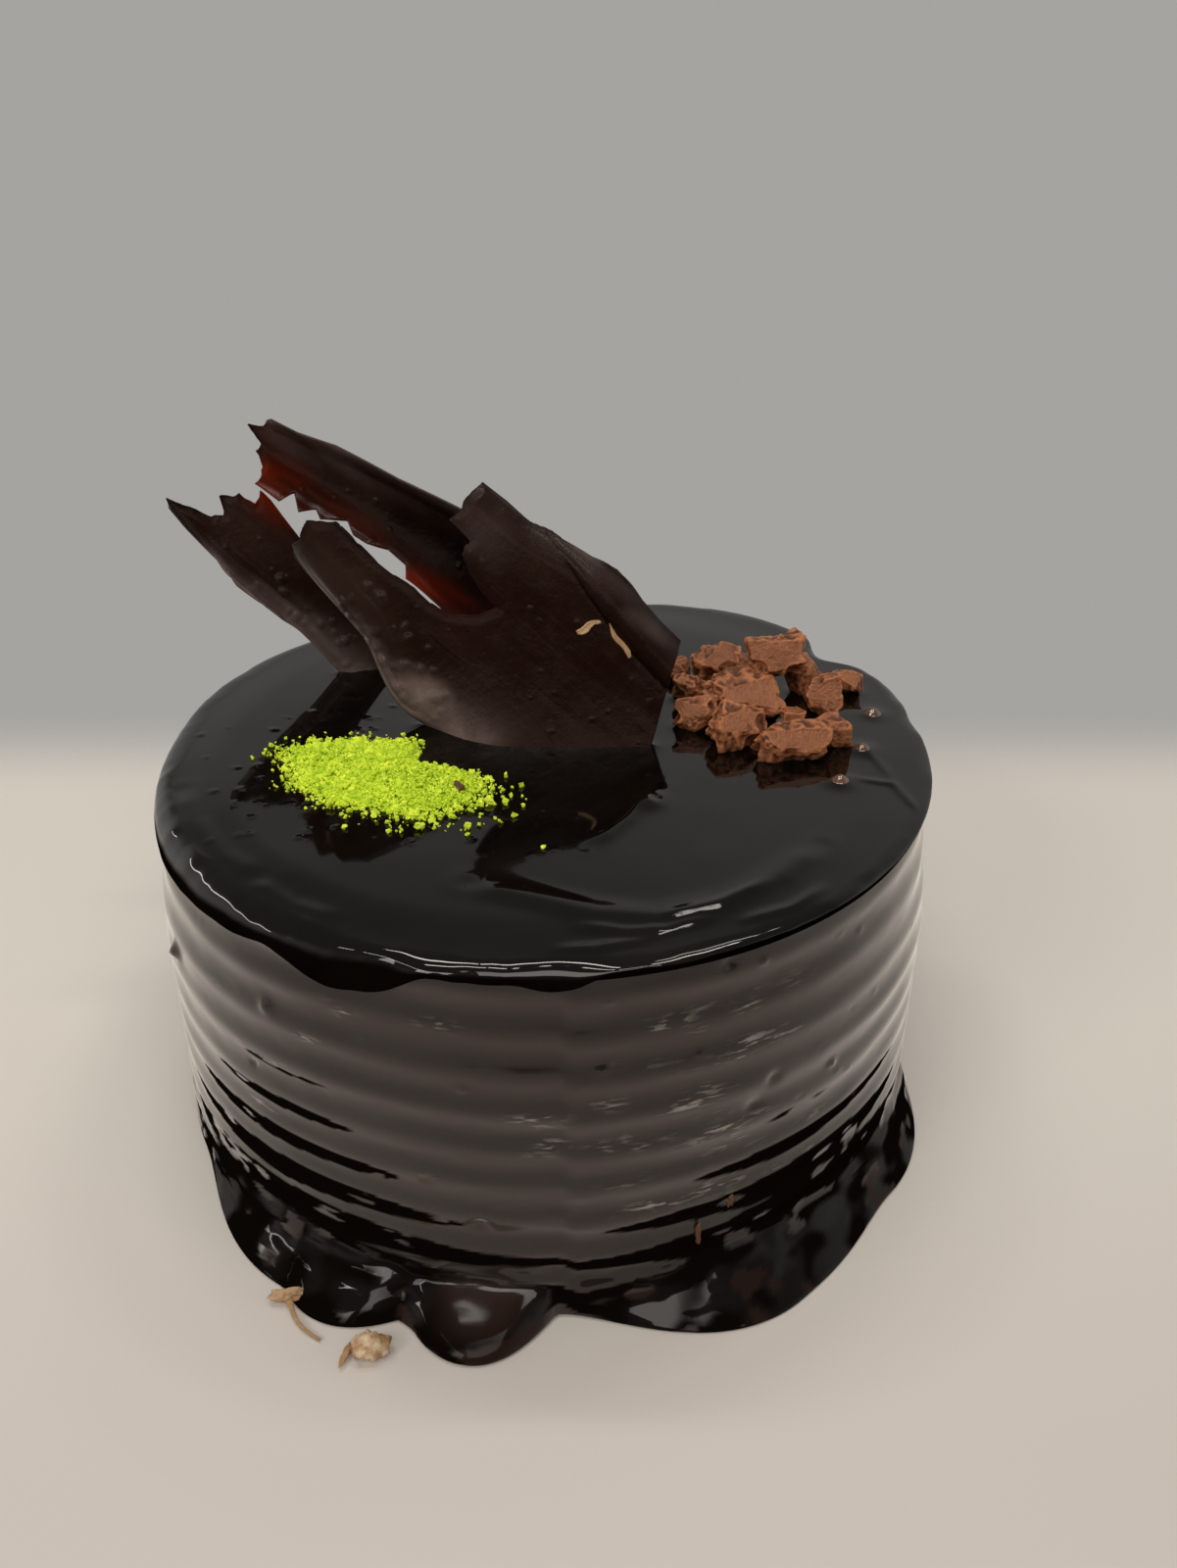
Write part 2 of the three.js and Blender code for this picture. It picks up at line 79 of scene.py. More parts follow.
def smoothstep(value: Array, low: float, high: float) -> Array:
    """Eases from 0 at low to 1 at high as 3x^2 - 2x^3."""
    share = np.clip((value - low) / (high - low), 0.0, 1.0)
    return share * share * (3.0 - 2.0 * share)


def bump(value: Array, centre: float, spread: float) -> Array:
    """Hump (1 - x^2)^2 that is 1 at its centre and 0 from its spread outwards."""
    away = np.clip(np.abs(value - centre) / spread, 0.0, 1.0)
    return (1.0 - away**2) ** 2


def within(value: Array, low: float, high: float, fade: float) -> Array:
    """1 from low to high, eased to 0 over a fade on either side."""
    return smoothstep(value, low - fade, low) * (1.0 - smoothstep(value, high, high + fade))


def bell(angle: Array, centre: float, spread: float) -> Array:
    """Hump round the cake.

    Args:
        angle: Angles in radians.
        centre: Angle of the peak in degrees.
        spread: Degrees from the peak to zero.

    Returns:
        Values from 0 to 1.
    """
    turn = angle - np.radians(centre)
    return bump(np.degrees(np.arctan2(np.sin(turn), np.cos(turn))), 0.0, spread)


def ripple(angle: Array, shift: float) -> Array:
    """Slow waves round the cake: a sum of sines that start at a shift, about -1 to 1."""
    return sum(height * np.sin(turns * angle + lead * shift) for height, turns, lead in SLOW_WAVES)


def flat_place(first: Array, second: Array | float = 0.0) -> Array:
    """Places in a plane: two numbers and a 0 in the last axis."""
    return np.stack(np.broadcast_arrays(first, second, 0.0), -1)


def round_place(angle: Array, radius: Array | float, z: Array | float) -> Array:
    """Places round the upright axis, by their angle, radius and height."""
    return np.stack(np.broadcast_arrays(radius * np.cos(angle), radius * np.sin(angle), z), -1)


def line_distance(points: Array, line: Array) -> Array:
    """Distance from points to a line of corners.

    Args:
        points: Places as rows of two numbers.
        line: Corners as rows of two numbers.

    Returns:
        The shortest distance from each point to any stretch of the line.
    """
    step = np.diff(line, axis=0)
    reach = points[:, None, :] - line[None, :-1, :]
    share = np.clip((reach * step).sum(-1) / (step**2).sum(-1), 0.0, 1.0)
    gap = reach - share[..., None] * step
    return np.sqrt((gap**2).sum(-1).min(1))


@dataclass(frozen=True)
class Grain:
    """Seeded value noise: a hash at each lattice corner, blended with smoothed fractions."""

    seed: int
    steps: Sequence[int] = (73856093, 19349663, 83492791)
    seed_step: int = 2654435
    mixers: Sequence[tuple[int, int]] = ((13, 1274126177), (15, 668265263))
    mask: int = 0x7FFFFFFF
    levels: int = 0xFFFF
    low_bits: int = 8

    def at(self, points: Array) -> Array:
        """Noise from -1 to 1.

        Args:
            points: Places in units of the noise's own cells, three numbers in the last axis.

        Returns:
            One value for each place.
        """
        cell = np.floor(points).astype(np.int64)
        part = smoothstep(points - cell, 0.0, 1.0)
        total = np.zeros(points.shape[:-1])
        for corner in product((0, 1), repeat=3):
            code = ((cell + np.array(corner)) * np.array(self.steps)).sum(-1) + self.seed * self.seed_step
            for shift, factor in self.mixers:
                code = ((code ^ (code >> shift)) * factor) & self.mask
            weight = np.where(np.array(corner) == 1, part, 1.0 - part).prod(-1)
            total += weight * (((code >> self.low_bits) & self.levels) / (0.5 * self.levels) - 1.0)
        return total

    def layered(self, points: Array, octaves: int = 3, gain: float = 0.5) -> Array:
        """Sum of octaves, each at twice the frequency of the one before.

        Args:
            points: Places in units of the largest cells.
            octaves: Number of layers.
            gain: Height of each layer over the one before.

        Returns:
            One value for each place.
        """
        total = np.zeros(points.shape[:-1])
        for octave in range(octaves):
            total += gain**octave * self.at(points * 2.0**octave + 17.3 * octave)
        return total


@dataclass(frozen=True)
class NoiseLayer:
    """Noise on a piece: height, cell sizes in millimetres, octaves, gain and an offset to its seed."""

    height: float
    cell: float | Point
    octaves: int = 1
    gain: float = 0.5
    offset: int = 0

    def at(self, place: Array, seed: int, shift: float = 0.0) -> Array:
        """Height of the noise at each place, by the piece's seed and a shift in cells."""
        grain = Grain(seed + self.offset)
        return self.height * grain.layered(place / np.array(self.cell) + shift, self.octaves, self.gain)


# Meshes


@dataclass
class Shape:
    """A mesh in millimetres: its points, its faces, and values that its finish reads."""

    points: Array
    quads: Array
    triangles: Array = field(default_factory=lambda: np.zeros((0, 3), int))
    fields: dict[str, Array] = field(default_factory=dict)
    smooth: bool = True

    @staticmethod
    def joined(shapes: Sequence[Shape]) -> Shape:
        """Puts several shapes into one.

        Args:
            shapes: Shapes that have the same fields.

        Returns:
            The new shape, as smooth as the first.
        """
        offsets = np.cumsum([0] + [len(shape.points) for shape in shapes[:-1]])
        first = shapes[0]
        return Shape(
            points=np.concatenate([shape.points for shape in shapes]),
            quads=np.concatenate([shape.quads + offset for shape, offset in zip(shapes, offsets)]),
            triangles=np.concatenate([shape.triangles + offset for shape, offset in zip(shapes, offsets)]),
            fields={key: np.concatenate([shape.fields[key] for shape in shapes]) for key in first.fields},
            smooth=first.smooth,
        )

    def to_object(self, name: str) -> bpy.types.Object:
        """Makes a mesh object at the origin, with its place in its mesh.

        Args:
            name: Name of the object and of its mesh.

        Returns:
            The object, linked to the scene.
        """
        mesh = bpy.data.meshes.new(name)
        faces = self.quads.tolist() + self.triangles.tolist()
        mesh.from_pydata((self.points * MM).tolist(), [], faces)
        mesh.polygons.foreach_set("use_smooth", np.full(len(faces), self.smooth))
        for key, values in self.fields.items():
            layer = mesh.attributes.new(key, "FLOAT", "POINT")
            layer.data.foreach_set("value", np.asarray(values, np.float32))
        mesh.update()
        piece = bpy.data.objects.new(name, mesh)
        bpy.context.scene.collection.objects.link(piece)
        return piece


def ring_solid(rings: Array, low: Sequence[float], high: Sequence[float]) -> Shape:
    """Closes a stack of rings with a pole at each end.

    Args:
        rings: Points in rows from the low pole to the high one, each row a ring seen counter-clockwise.
        low: The low pole.
        high: The high pole.

    Returns:
        A closed shape with its faces outwards.
    """
    rows, columns = rings.shape[:2]
    points = np.concatenate([[low], rings.reshape(-1, 3), [high]])
    at = 1 + np.arange(rows * columns).reshape(rows, columns)
    after = np.roll(at, -1, axis=1)
    quads = np.stack([at[:-1], after[:-1], after[1:], at[1:]], -1).reshape(-1, 4)
    first = np.stack([np.zeros(columns, int), after[0], at[0]], -1)
    last = np.stack([np.full(columns, len(points) - 1), at[-1], after[-1]], -1)
    return Shape(points, quads, np.concatenate([first, last]))


def facing_up(rings: Array) -> Array:
    """Upright part of the unit normals of a stack of rings."""
    normal = np.cross(np.roll(rings, -1, axis=1) - np.roll(rings, 1, axis=1), np.gradient(rings, axis=0))
    return normal[..., 2] / np.maximum(np.linalg.norm(normal, axis=-1), 1e-9)


def grid_quads(columns: int, rows: int) -> Array:
    """Faces of a grid of points, in the direction of columns cross rows."""
    at = np.arange(columns * rows).reshape(columns, rows)
    return np.stack([at[:-1, :-1], at[1:, :-1], at[1:, 1:], at[:-1, 1:]], -1).reshape(-1, 4)


def sheet_solid(grid: Array, thickness: Array) -> Shape:
    """Gives a grid of points a thickness, half of it to each side along the grid's normals.

    Args:
        grid: Points in columns and rows.
        thickness: Full thickness at each point.

    Returns:
        A closed shape, its front in the direction of columns cross rows.
    """
    normal = np.cross(np.gradient(grid, axis=0), np.gradient(grid, axis=1))
    normal /= np.linalg.norm(normal, axis=-1, keepdims=True)
    half = 0.5 * thickness[..., None] * normal
    columns, rows = grid.shape[:2]
    front = np.arange(columns * rows).reshape(columns, rows)
    back = front + columns * rows
    faces = [
        grid_quads(columns, rows),
        grid_quads(columns, rows)[:, [0, 3, 2, 1]] + columns * rows,
        np.stack([back[:-1, 0], back[1:, 0], front[1:, 0], front[:-1, 0]], -1),
        np.stack([front[:-1, -1], front[1:, -1], back[1:, -1], back[:-1, -1]], -1),
        np.stack([back[0, :-1], front[0, :-1], front[0, 1:], back[0, 1:]], -1),
        np.stack([front[-1, :-1], back[-1, :-1], back[-1, 1:], front[-1, 1:]], -1),
    ]
    points = np.concatenate([(grid + half).reshape(-1, 3), (grid - half).reshape(-1, 3)])
    return Shape(points, np.concatenate(faces))


def cube_ball(cuts: int) -> Shape:
    """A ball of radius 1 from six square grids, with the seams welded.

    Args:
        cuts: Faces along a side of each grid.

    Returns:
        A closed shape with its faces outwards.
    """
    line = np.tan(np.linspace(-np.pi / 4, np.pi / 4, cuts + 1))
    wide, tall = np.meshgrid(line, line, indexing="ij")
    one = np.ones_like(wide)
    sides = [(one, wide, tall), (-one, tall, wide), (tall, one, wide), (wide, -one, tall)]
    sides += [(wide, tall, one), (tall, wide, -one)]
    points = np.concatenate([np.stack(side, -1).reshape(-1, 3) for side in sides])
    face = grid_quads(cuts + 1, cuts + 1)
    quads = np.concatenate([face + number * (cuts + 1) ** 2 for number in range(len(sides))])
    _, keep, back = np.unique(np.round(points, 6), axis=0, return_index=True, return_inverse=True)
    points = points[keep] / np.linalg.norm(points[keep], axis=1, keepdims=True)
    return Shape(points, back.reshape(-1)[quads])


def turned(points: Array, degrees: float) -> Array:
    """Points turned about the upright axis, from +X towards +Y."""
    cos, sin = np.cos(np.radians(degrees)), np.sin(np.radians(degrees))
    return points @ np.array([[cos, sin, 0], [-sin, cos, 0], [0, 0, 1]])


# Shader expressions


@dataclass(frozen=True)
class Speckle:
    """Noise of a finish: cycles a metre, detail, weight and a stretch of its axes."""

    scale: float
    detail: float = 3.0
    weight: float = 1.0
    stretch: Point = (1.0, 1.0, 1.0)


@dataclass
class Wire:
    """A shader socket that arithmetic can be written with."""

    sheet: NodeSheet
    socket: bpy.types.NodeSocket | None

    def _math(self, operation: str, first: Any, second: Any) -> Wire:
        """Adds a Math node for two values."""
        return self.sheet.add("ShaderNodeMath", {"operation": operation}, {0: first, 1: second})

    def __add__(self, other: Any) -> Wire:
        """Sum of two values."""
        return self._math("ADD", self, other)

    def __sub__(self, other: Any) -> Wire:
        """Difference of two values."""
        return self._math("SUBTRACT", self, other)

    def __rsub__(self, other: Any) -> Wire:
        """Difference with the value on the right."""
        return self._math("SUBTRACT", other, self)

    def __mul__(self, other: Any) -> Wire:
        """Product of two values."""
        return self._math("MULTIPLY", self, other)

    __radd__ = __add__

    def eased(self, low: float, high: float) -> Wire:
        """Smooth step from 0 at low to 1 at high."""
        settings = {"interpolation_type": "SMOOTHSTEP"}
        return self.sheet.add("ShaderNodeMapRange", settings, {0: self, 1: low, 2: high})


class NodeSheet:
    """The node tree of a material or of the room."""

    def __init__(self, owner: bpy.types.Material | bpy.types.World) -> None:
        """Starts an empty tree.

        Args:
            owner: The material or world that the nodes are for.
        """
        owner.use_nodes = True
        self.owner = owner
        self.tree = owner.node_tree
        self.tree.nodes.clear()

    @classmethod
    def named(cls, name: str) -> NodeSheet:
        """Sheet of a new material."""
        return cls(bpy.data.materials.new(name))

    def add(self, kind: str, settings: dict[str, Any], inputs: dict[Any, Any], output: Any = 0) -> Wire:
        """Adds one node.

        Args:
            kind: The node's type.
            settings: Properties of the node, set before its sockets.
            inputs: Value or wire of each socket, by name or number.
            output: Name or number of the socket that is returned.

        Returns:
            The chosen output, empty for a node that has none.
        """
        node = self.tree.nodes.new(kind)
        for key, value in settings.items():
            setattr(node, key, value)
        for key, value in inputs.items():
            if isinstance(value, Wire):
                self.tree.links.new(value.socket, node.inputs[key])
            else:
                node.inputs[key].default_value = value
        return Wire(self, node.outputs[output] if node.outputs else None)

    def place(self, scale: Sequence[float] = (1, 1, 1)) -> Wire:
        """Object coordinates, stretched by a scale."""
        here = self.add("ShaderNodeTexCoord", {}, {}, "Object")
        return self.add("ShaderNodeMapping", {}, {"Vector": here, "Scale": scale})

    def noise(self, speckle: Speckle) -> Wire:
        """Noise in object coordinates, from 0 to its weight."""
        inputs = {"Vector": self.place(speckle.stretch), "Scale": speckle.scale, "Detail": speckle.detail}
        return self.add("ShaderNodeTexNoise", {}, inputs, "Fac") * speckle.weight

    def value(self, name: str) -> Wire:
        """A value that the mesh holds at each point."""
        return self.add("ShaderNodeAttribute", {"attribute_name": name}, {}, "Fac")

    def drawn(self, along: float, across: float) -> Wire:
        """Noise in a piece's own measures.

        Args:
            along: Cycles a millimetre along the piece.
            across: Cycles a millimetre across it.

        Returns:
            Values from 0 to 1.
        """
        flat = {0: self.value("along") * along, 1: self.value("across") * across}
        inputs = {"Vector": self.add("ShaderNodeCombineXYZ", {}, flat), "Scale": 1.0, "Detail": 3.0}
        return self.add("ShaderNodeTexNoise", {}, inputs, "Fac")

    def colours(self, share: Wire, first: Wire | Colour, second: Colour) -> Wire:
        """Colour between two, by a share from 0 to 1."""
        start = first if isinstance(first, Wire) else (*first, 1.0)
        return self.add("ShaderNodeMix", {"data_type": "RGBA"}, {0: share, 6: start, 7: (*second, 1.0)}, 2)

    def bumped(self, height: Wire, distance: float) -> Wire:
        """Normal of a height that is worth a distance in metres."""
        return self.add("ShaderNodeBump", {}, {"Height": height, "Distance": distance}, "Normal")

    def principled(self, inputs: dict[str, Any]) -> Wire:
        """The main shader."""
        return self.add("ShaderNodeBsdfPrincipled", {}, inputs)

    def coated(self, skin: Wire, gloss: float, index: float, inputs: dict[str, Any]) -> Wire:
        """The main shader with a dull body under a clear coat of a weight, a roughness and an index."""
        coat = {"Coat Weight": skin, "Coat Roughness": gloss, "Coat IOR": index}
        return self.principled({"Roughness": 0.5, "Specular IOR Level": 0.0} | coat | inputs)

    def mixed(self, share: Wire, first: Wire, second: Wire) -> Wire:
        """Shader between two, by a share from 0 to 1."""
        return self.add("ShaderNodeMixShader", {}, {0: share, 1: first, 2: second})

    def finish(self, surface: Wire) -> bpy.types.Material:
        """Links a shader to the output and returns the material."""
        self.add("ShaderNodeOutputMaterial", {}, {"Surface": surface})
        return self.owner


# Finishes


@dataclass(frozen=True)
class MirrorGlaze:
    """Poured dark glaze: almost black under a clear mirror skin, which is left off where the rim and lip face
    down, a painted dark reflection.
    """

    name: str = "mirror_glaze"
    deep: Colour = (0.0018, 0.0012, 0.0009)
    thin: Colour = (0.0040, 0.0024, 0.0017)
    gloss: float = 0.05
    index: float = 1.5
    clouds: Speckle = Speckle(38.0, 2.0)
    cloud_span: Span = (0.4, 0.75)
    waves: Speckle = Speckle(70.0, 2.0, 0.8)
    grains: Speckle = Speckle(900.0, 2.0, 0.035)
    wave_height: float = 0.00022

    def material(self) -> bpy.types.Material:
        """Black brown with faint clouds, a slow waviness and a few finer grains.

        Returns:
            The material, which reads the field skin.
        """
        sheet = NodeSheet.named(self.name)
        cloud = sheet.noise(self.clouds).eased(*self.cloud_span)
        wave = sheet.noise(self.waves) + sheet.noise(self.grains)
        return sheet.finish(sheet.coated(sheet.value("skin"), self.gloss, self.index, {
            "Base Color": sheet.colours(cloud, self.deep, self.thin),
            "Normal": sheet.bumped(wave, self.wave_height),
        }))


@dataclass(frozen=True)
class CombedGlaze:
    """Glaze over the combed side: a dull satin skin, scuffed here and there, and a black zone, deep glaze
    pooled at the foot and above it a painted dark reflection.
    """

    # upper and under paint bands of light on the ribs: dark on top, lighter underneath where the sheen is
    # brighter
    upper: Colour = (0.0065, 0.0032, 0.0023)
    under: Colour = (0.0250, 0.0118, 0.0085)
    # pale colour of a painted highlight on the raised scuffs
    painted_scuff_highlight: Colour = (0.2400, 0.2150, 0.1950)
    # black of the dark zone: deep glaze at the foot, a painted dark reflection above it
    wet: Colour = (0.0040, 0.0026, 0.0020)
    gloss: float = 0.06
    index: float = 1.5
    skin_gloss: float = 0.12
    skin_index: float = 1.52
    # sheen layer of the skin: weight, roughness and tint
    sheen_layer_and_painted_sheen: float = 0.95
    film_roughness: float = 0.36
    film_tint: Colour = (1.0, 0.95, 0.90)
    scratches: Speckle = Speckle(800.0, 2.0, stretch=(0.3, 0.3, 1.6))
    scratch_span: Span = (0.5, 0.62)
    waves: Speckle = Speckle(60.0, 3.0, stretch=(1.0, 1.0, 3.0))
    grains: Speckle = Speckle(700.0, 2.0, 0.03)
    wave_height: float = 0.0003

    def material(self) -> bpy.types.Material:
        """Brown black, darker on top of each rib and lighter under it, a painted band of light, below a hazy
        skin, mixed with a black zone that is partly deep glaze and partly a painted dark reflection.

        Returns:
            The material, which reads the fields under, scuff, skin, gleam and that of the black zone.
        """
        sheet = NodeSheet.named("combed_glaze")
        tone = sheet.colours(sheet.value("under"), self.upper, self.under)
        scratch = sheet.noise(self.scratches).eased(*self.scratch_span)
        # painted highlight: scuffs turn pale along scratch lines
        tone = sheet.colours(sheet.value("scuff") * scratch, tone, self.painted_scuff_highlight)
        normal = sheet.bumped(sheet.noise(self.waves) + sheet.noise(self.grains), self.wave_height)
        skin = sheet.coated(sheet.value("skin"), self.skin_gloss, self.skin_index, {
            "Base Color": tone,
            "Sheen Weight": self.sheen_layer_and_painted_sheen,
            "Sheen Roughness": self.film_roughness,
            "Sheen Tint": (*self.film_tint, 1.0),
            "Normal": normal,
        })
        # black zone: a painted dark reflection above the pooled foot, coated only where the pools face up
        black = {"Base Color": (*self.wet, 1.0), "Normal": normal}
        wet = sheet.coated(sheet.value("gleam"), self.gloss, self.index, black)
        return sheet.finish(sheet.mixed(sheet.value("wet"), skin, wet))


@dataclass(frozen=True)
class DarkShard:
    """Thin tempered dark chocolate: dull or polished, faintly bloomed, with painted sheen and painted shade
    in places, glowing where it is thin.
    """

    plain: Colour = (0.0118, 0.0042, 0.0027)
    # pale end of the tone: bloom, and painted sheen in spots
    bloom_and_painted_sheen_tone: Colour = (0.0280, 0.0145, 0.0110)
    # pale colour of painted sheen
    sheen_layer_and_painted_sheen: Colour = (0.2100, 0.1500, 0.1380)
    dark: Colour = (0.0026, 0.0012, 0.0009)
    glow: Colour = (0.95, 0.25, 0.035)
    sheen: Colour = (1.0, 0.80, 0.70)
    satin: float = 0.30
    polished: float = 0.22
    mottles: Speckle = Speckle(160.0, 4.0)
    mottle_span: Span = (0.42, 0.8)
    streaks: Place = (0.05, 1.3)
    streak_span: Span = (0.5, 0.8)
    peel: Speckle = Speckle(520.0, 3.0)
    fine_peel: Speckle = Speckle(2200.0, 2.0, 0.25)
    peel_height: float = 0.0002

    def material(self) -> bpy.types.Material:
        """Mottled, streaked brown black with an orange-peel bump, paler by bloom and by spots of painted
        sheen, darker by painted shade, mixed with light through it.

        Returns:
            The material, which reads the fields of a shard.
        """
        sheet = NodeSheet.named("dark_shard")
        mottle = sheet.noise(self.mottles).eased(*self.mottle_span)
        streak = sheet.drawn(*self.streaks)
        peel = sheet.noise(self.peel) + sheet.noise(self.fine_peel) + streak * 0.3
        bloomed = mottle * 0.28 + streak.eased(*self.streak_span) * 0.2
        # paler by bloom and by spots of painted sheen
        tone = sheet.colours(bloomed + sheet.value("bloom_and_painted_sheen"), self.plain, self.bloom_and_painted_sheen_tone)
        tone = sheet.colours(sheet.value("shade"), tone, self.dark)
        # painted sheen: a pale dull colour over the tone, grainy by the mottle
        grainy_painted_sheen = sheet.value("sheen_layer_and_painted_sheen") * (0.72 + mottle * 0.5)
        shader = sheet.principled({
            "Base Color": sheet.colours(grainy_painted_sheen, tone, self.sheen_layer_and_painted_sheen),
            "Roughness": mottle * 0.14 + self.satin,
            "IOR": 1.48,
            "Specular IOR Level": 0.06,
            "Specular Tint": (*self.sheen, 1.0),
            "Coat Weight": sheet.value("polish"),
            "Coat Roughness": self.polished,
            "Coat IOR": 1.55,
            "Normal": sheet.bumped(peel, self.peel_height),
        })
        through = sheet.add("ShaderNodeBsdfTranslucent", {}, {"Color": (*self.glow, 1.0)})
        return sheet.finish(sheet.mixed(sheet.value("thin"), shader, through))


@dataclass(frozen=True)
class MilkChunk:
    """Broken milk chocolate: crumbly crags, paler on their edges by wear and a painted highlight, darker in
    their hollows by painted shade, with smooth cut faces.
    """

    # darkest tone, reached by the painted shade of dips, pocks, low parts and the pile's depths
    crevice_shade: Colour = (0.088, 0.0245, 0.0088)
    crag: Colour = (0.410, 0.150, 0.060)
    cut: Colour = (0.275, 0.097, 0.038)
    dry: float = 0.46
    waxy: float = 0.36
    grains: Speckle = Speckle(1300.0, 4.0)
    knife_lines: Speckle = Speckle(1400.0, 1.0, stretch=(1.0, 0.08, 0.08))
    crag_tone: float = 1.05
    grain_height: float = 0.00045

    def material(self) -> bpy.types.Material:
        """Brown by the tone of the crags, which holds painted shade and highlight, with fine grain and the
        knife's lines on the cut faces.

        Returns:
            The material, which reads the fields crag and cut.
        """
        sheet = NodeSheet.named("milk_chunk")
        grain = sheet.noise(self.grains)
        pale = sheet.value("crag") * self.crag_tone + grain * 0.3 - 0.14
        tone = sheet.colours(pale, self.crevice_shade, self.crag)
        tone = sheet.colours(sheet.value("cut") * (0.4 + grain * 0.5), tone, self.cut)
        relief = grain + sheet.noise(self.knife_lines) * sheet.value("cut") * 0.4
        return sheet.finish(sheet.principled({
            "Base Color": tone,
            "Roughness": self.dry - sheet.value("cut") * (self.dry - self.waxy),
            "IOR": 1.45,
            "Specular IOR Level": 0.35,
            "Normal": sheet.bumped(relief, self.grain_height),
        }))


@dataclass(frozen=True)
class GreenCrumb:
    """Dry lime green crumb, no two crumbs quite alike."""

    shade: Colour = (0.360, 0.580, 0.006)
    light: Colour = (0.850, 0.990, 0.070)
    dry: float = 0.75
    pores: Speckle = Speckle(1800.0, 3.0)
    pore_height: float = 0.0003

    def material(self) -> bpy.types.Material:
        """Lime green by the tint of each crumb, with a porous grain.

        Returns:
            The material, which reads the field tint.
        """
        sheet = NodeSheet.named("green_crumb")
        pores = sheet.noise(self.pores)
        pale = sheet.value("tint") * 0.8 + pores * 0.2
        return sheet.finish(sheet.principled({
            "Base Color": sheet.colours(pale, self.shade, self.light),
            "Roughness": self.dry,
            "IOR": 1.4,
            "Normal": sheet.bumped(pores, self.pore_height),
        }))


@dataclass(frozen=True)
class PaleBit:
    """Flakes of chocolate and nut, from brown through tan to cream by their tint."""

    brown: Colour = (0.060, 0.020, 0.009)
    tan: Colour = (0.400, 0.225, 0.100)
    cream: Colour = (0.720, 0.580, 0.400)
    dry: float = 0.5
    blotches: Speckle = Speckle(420.0, 4.0)
    blotch_span: Span = (0.36, 0.62)
    tan_span: Span = (0.0, 0.6)
    cream_span: Span = (0.5, 1.0)
    grains: Speckle = Speckle(1500.0, 3.0)
    grain_height: float = 0.0003

    def material(self) -> bpy.types.Material:
        """Brown to tan by the tint, with cream blotches on the palest.

        Returns:
            The material, which reads the field tint.
        """
        sheet = NodeSheet.named("pale_bit")
        blotch = sheet.noise(self.blotches).eased(*self.blotch_span)
        tone = sheet.colours(sheet.value("tint").eased(*self.tan_span), self.brown, self.tan)
        creamy = blotch * sheet.value("tint").eased(*self.cream_span)
        return sheet.finish(sheet.principled({
            "Base Color": sheet.colours(creamy, tone, self.cream),
            "Roughness": self.dry,
            "IOR": 1.45,
            "Normal": sheet.bumped(sheet.noise(self.grains), self.grain_height),
        }))


@dataclass(frozen=True)
class FloorFinish:
    """Plain pale studio floor that fades into the grey room."""

    pale: Colour = (0.745, 0.70, 0.65)
    # near: painted shade on the floor in front of the cake
    near: Colour = (0.62, 0.567, 0.53)
    near_span: Span = (-0.16, 0.02)
    fade_span: Span = (0.13, 0.20)

    def material(self) -> bpy.types.Material:
        """Warm white, a little darker in front of the cake, a painted shade, and see-through by the distance
        behind it.

        Returns:
            The material.
        """
        sheet = NodeSheet.named("floor")
        away = sheet.add("ShaderNodeSeparateXYZ", {}, {0: sheet.place()}, "Y")
        return sheet.finish(sheet.principled({
            "Base Color": sheet.colours(away.eased(*self.near_span), self.near, self.pale),
            "Roughness": 0.55,
            "Alpha": 1.0 - away.eased(*self.fade_span),
        }))


# The cake's form


@dataclass(frozen=True)
class Lobe:
    """Something that stands out or hangs down about an angle: degrees, and a reach in millimetres."""

    angle: float
    spread: float
    reach: float

    def at(self, angle: Array) -> Array:
        """Reach at each angle."""
        return self.reach * bell(angle, self.angle, self.spread)


def lobed(lobes: Sequence[Lobe], angle: Array) -> Array:
    """Sum of some lobes at each angle."""
    return sum(lobe.at(angle) for lobe in lobes)


@dataclass(frozen=True)
class Pool:
    """Glaze pooled at the foot. A plump one bulges like a bead, the others taper away as a skirt."""

    angle: float
    spread: float
    reach: float
    height: float
    plump: bool = False


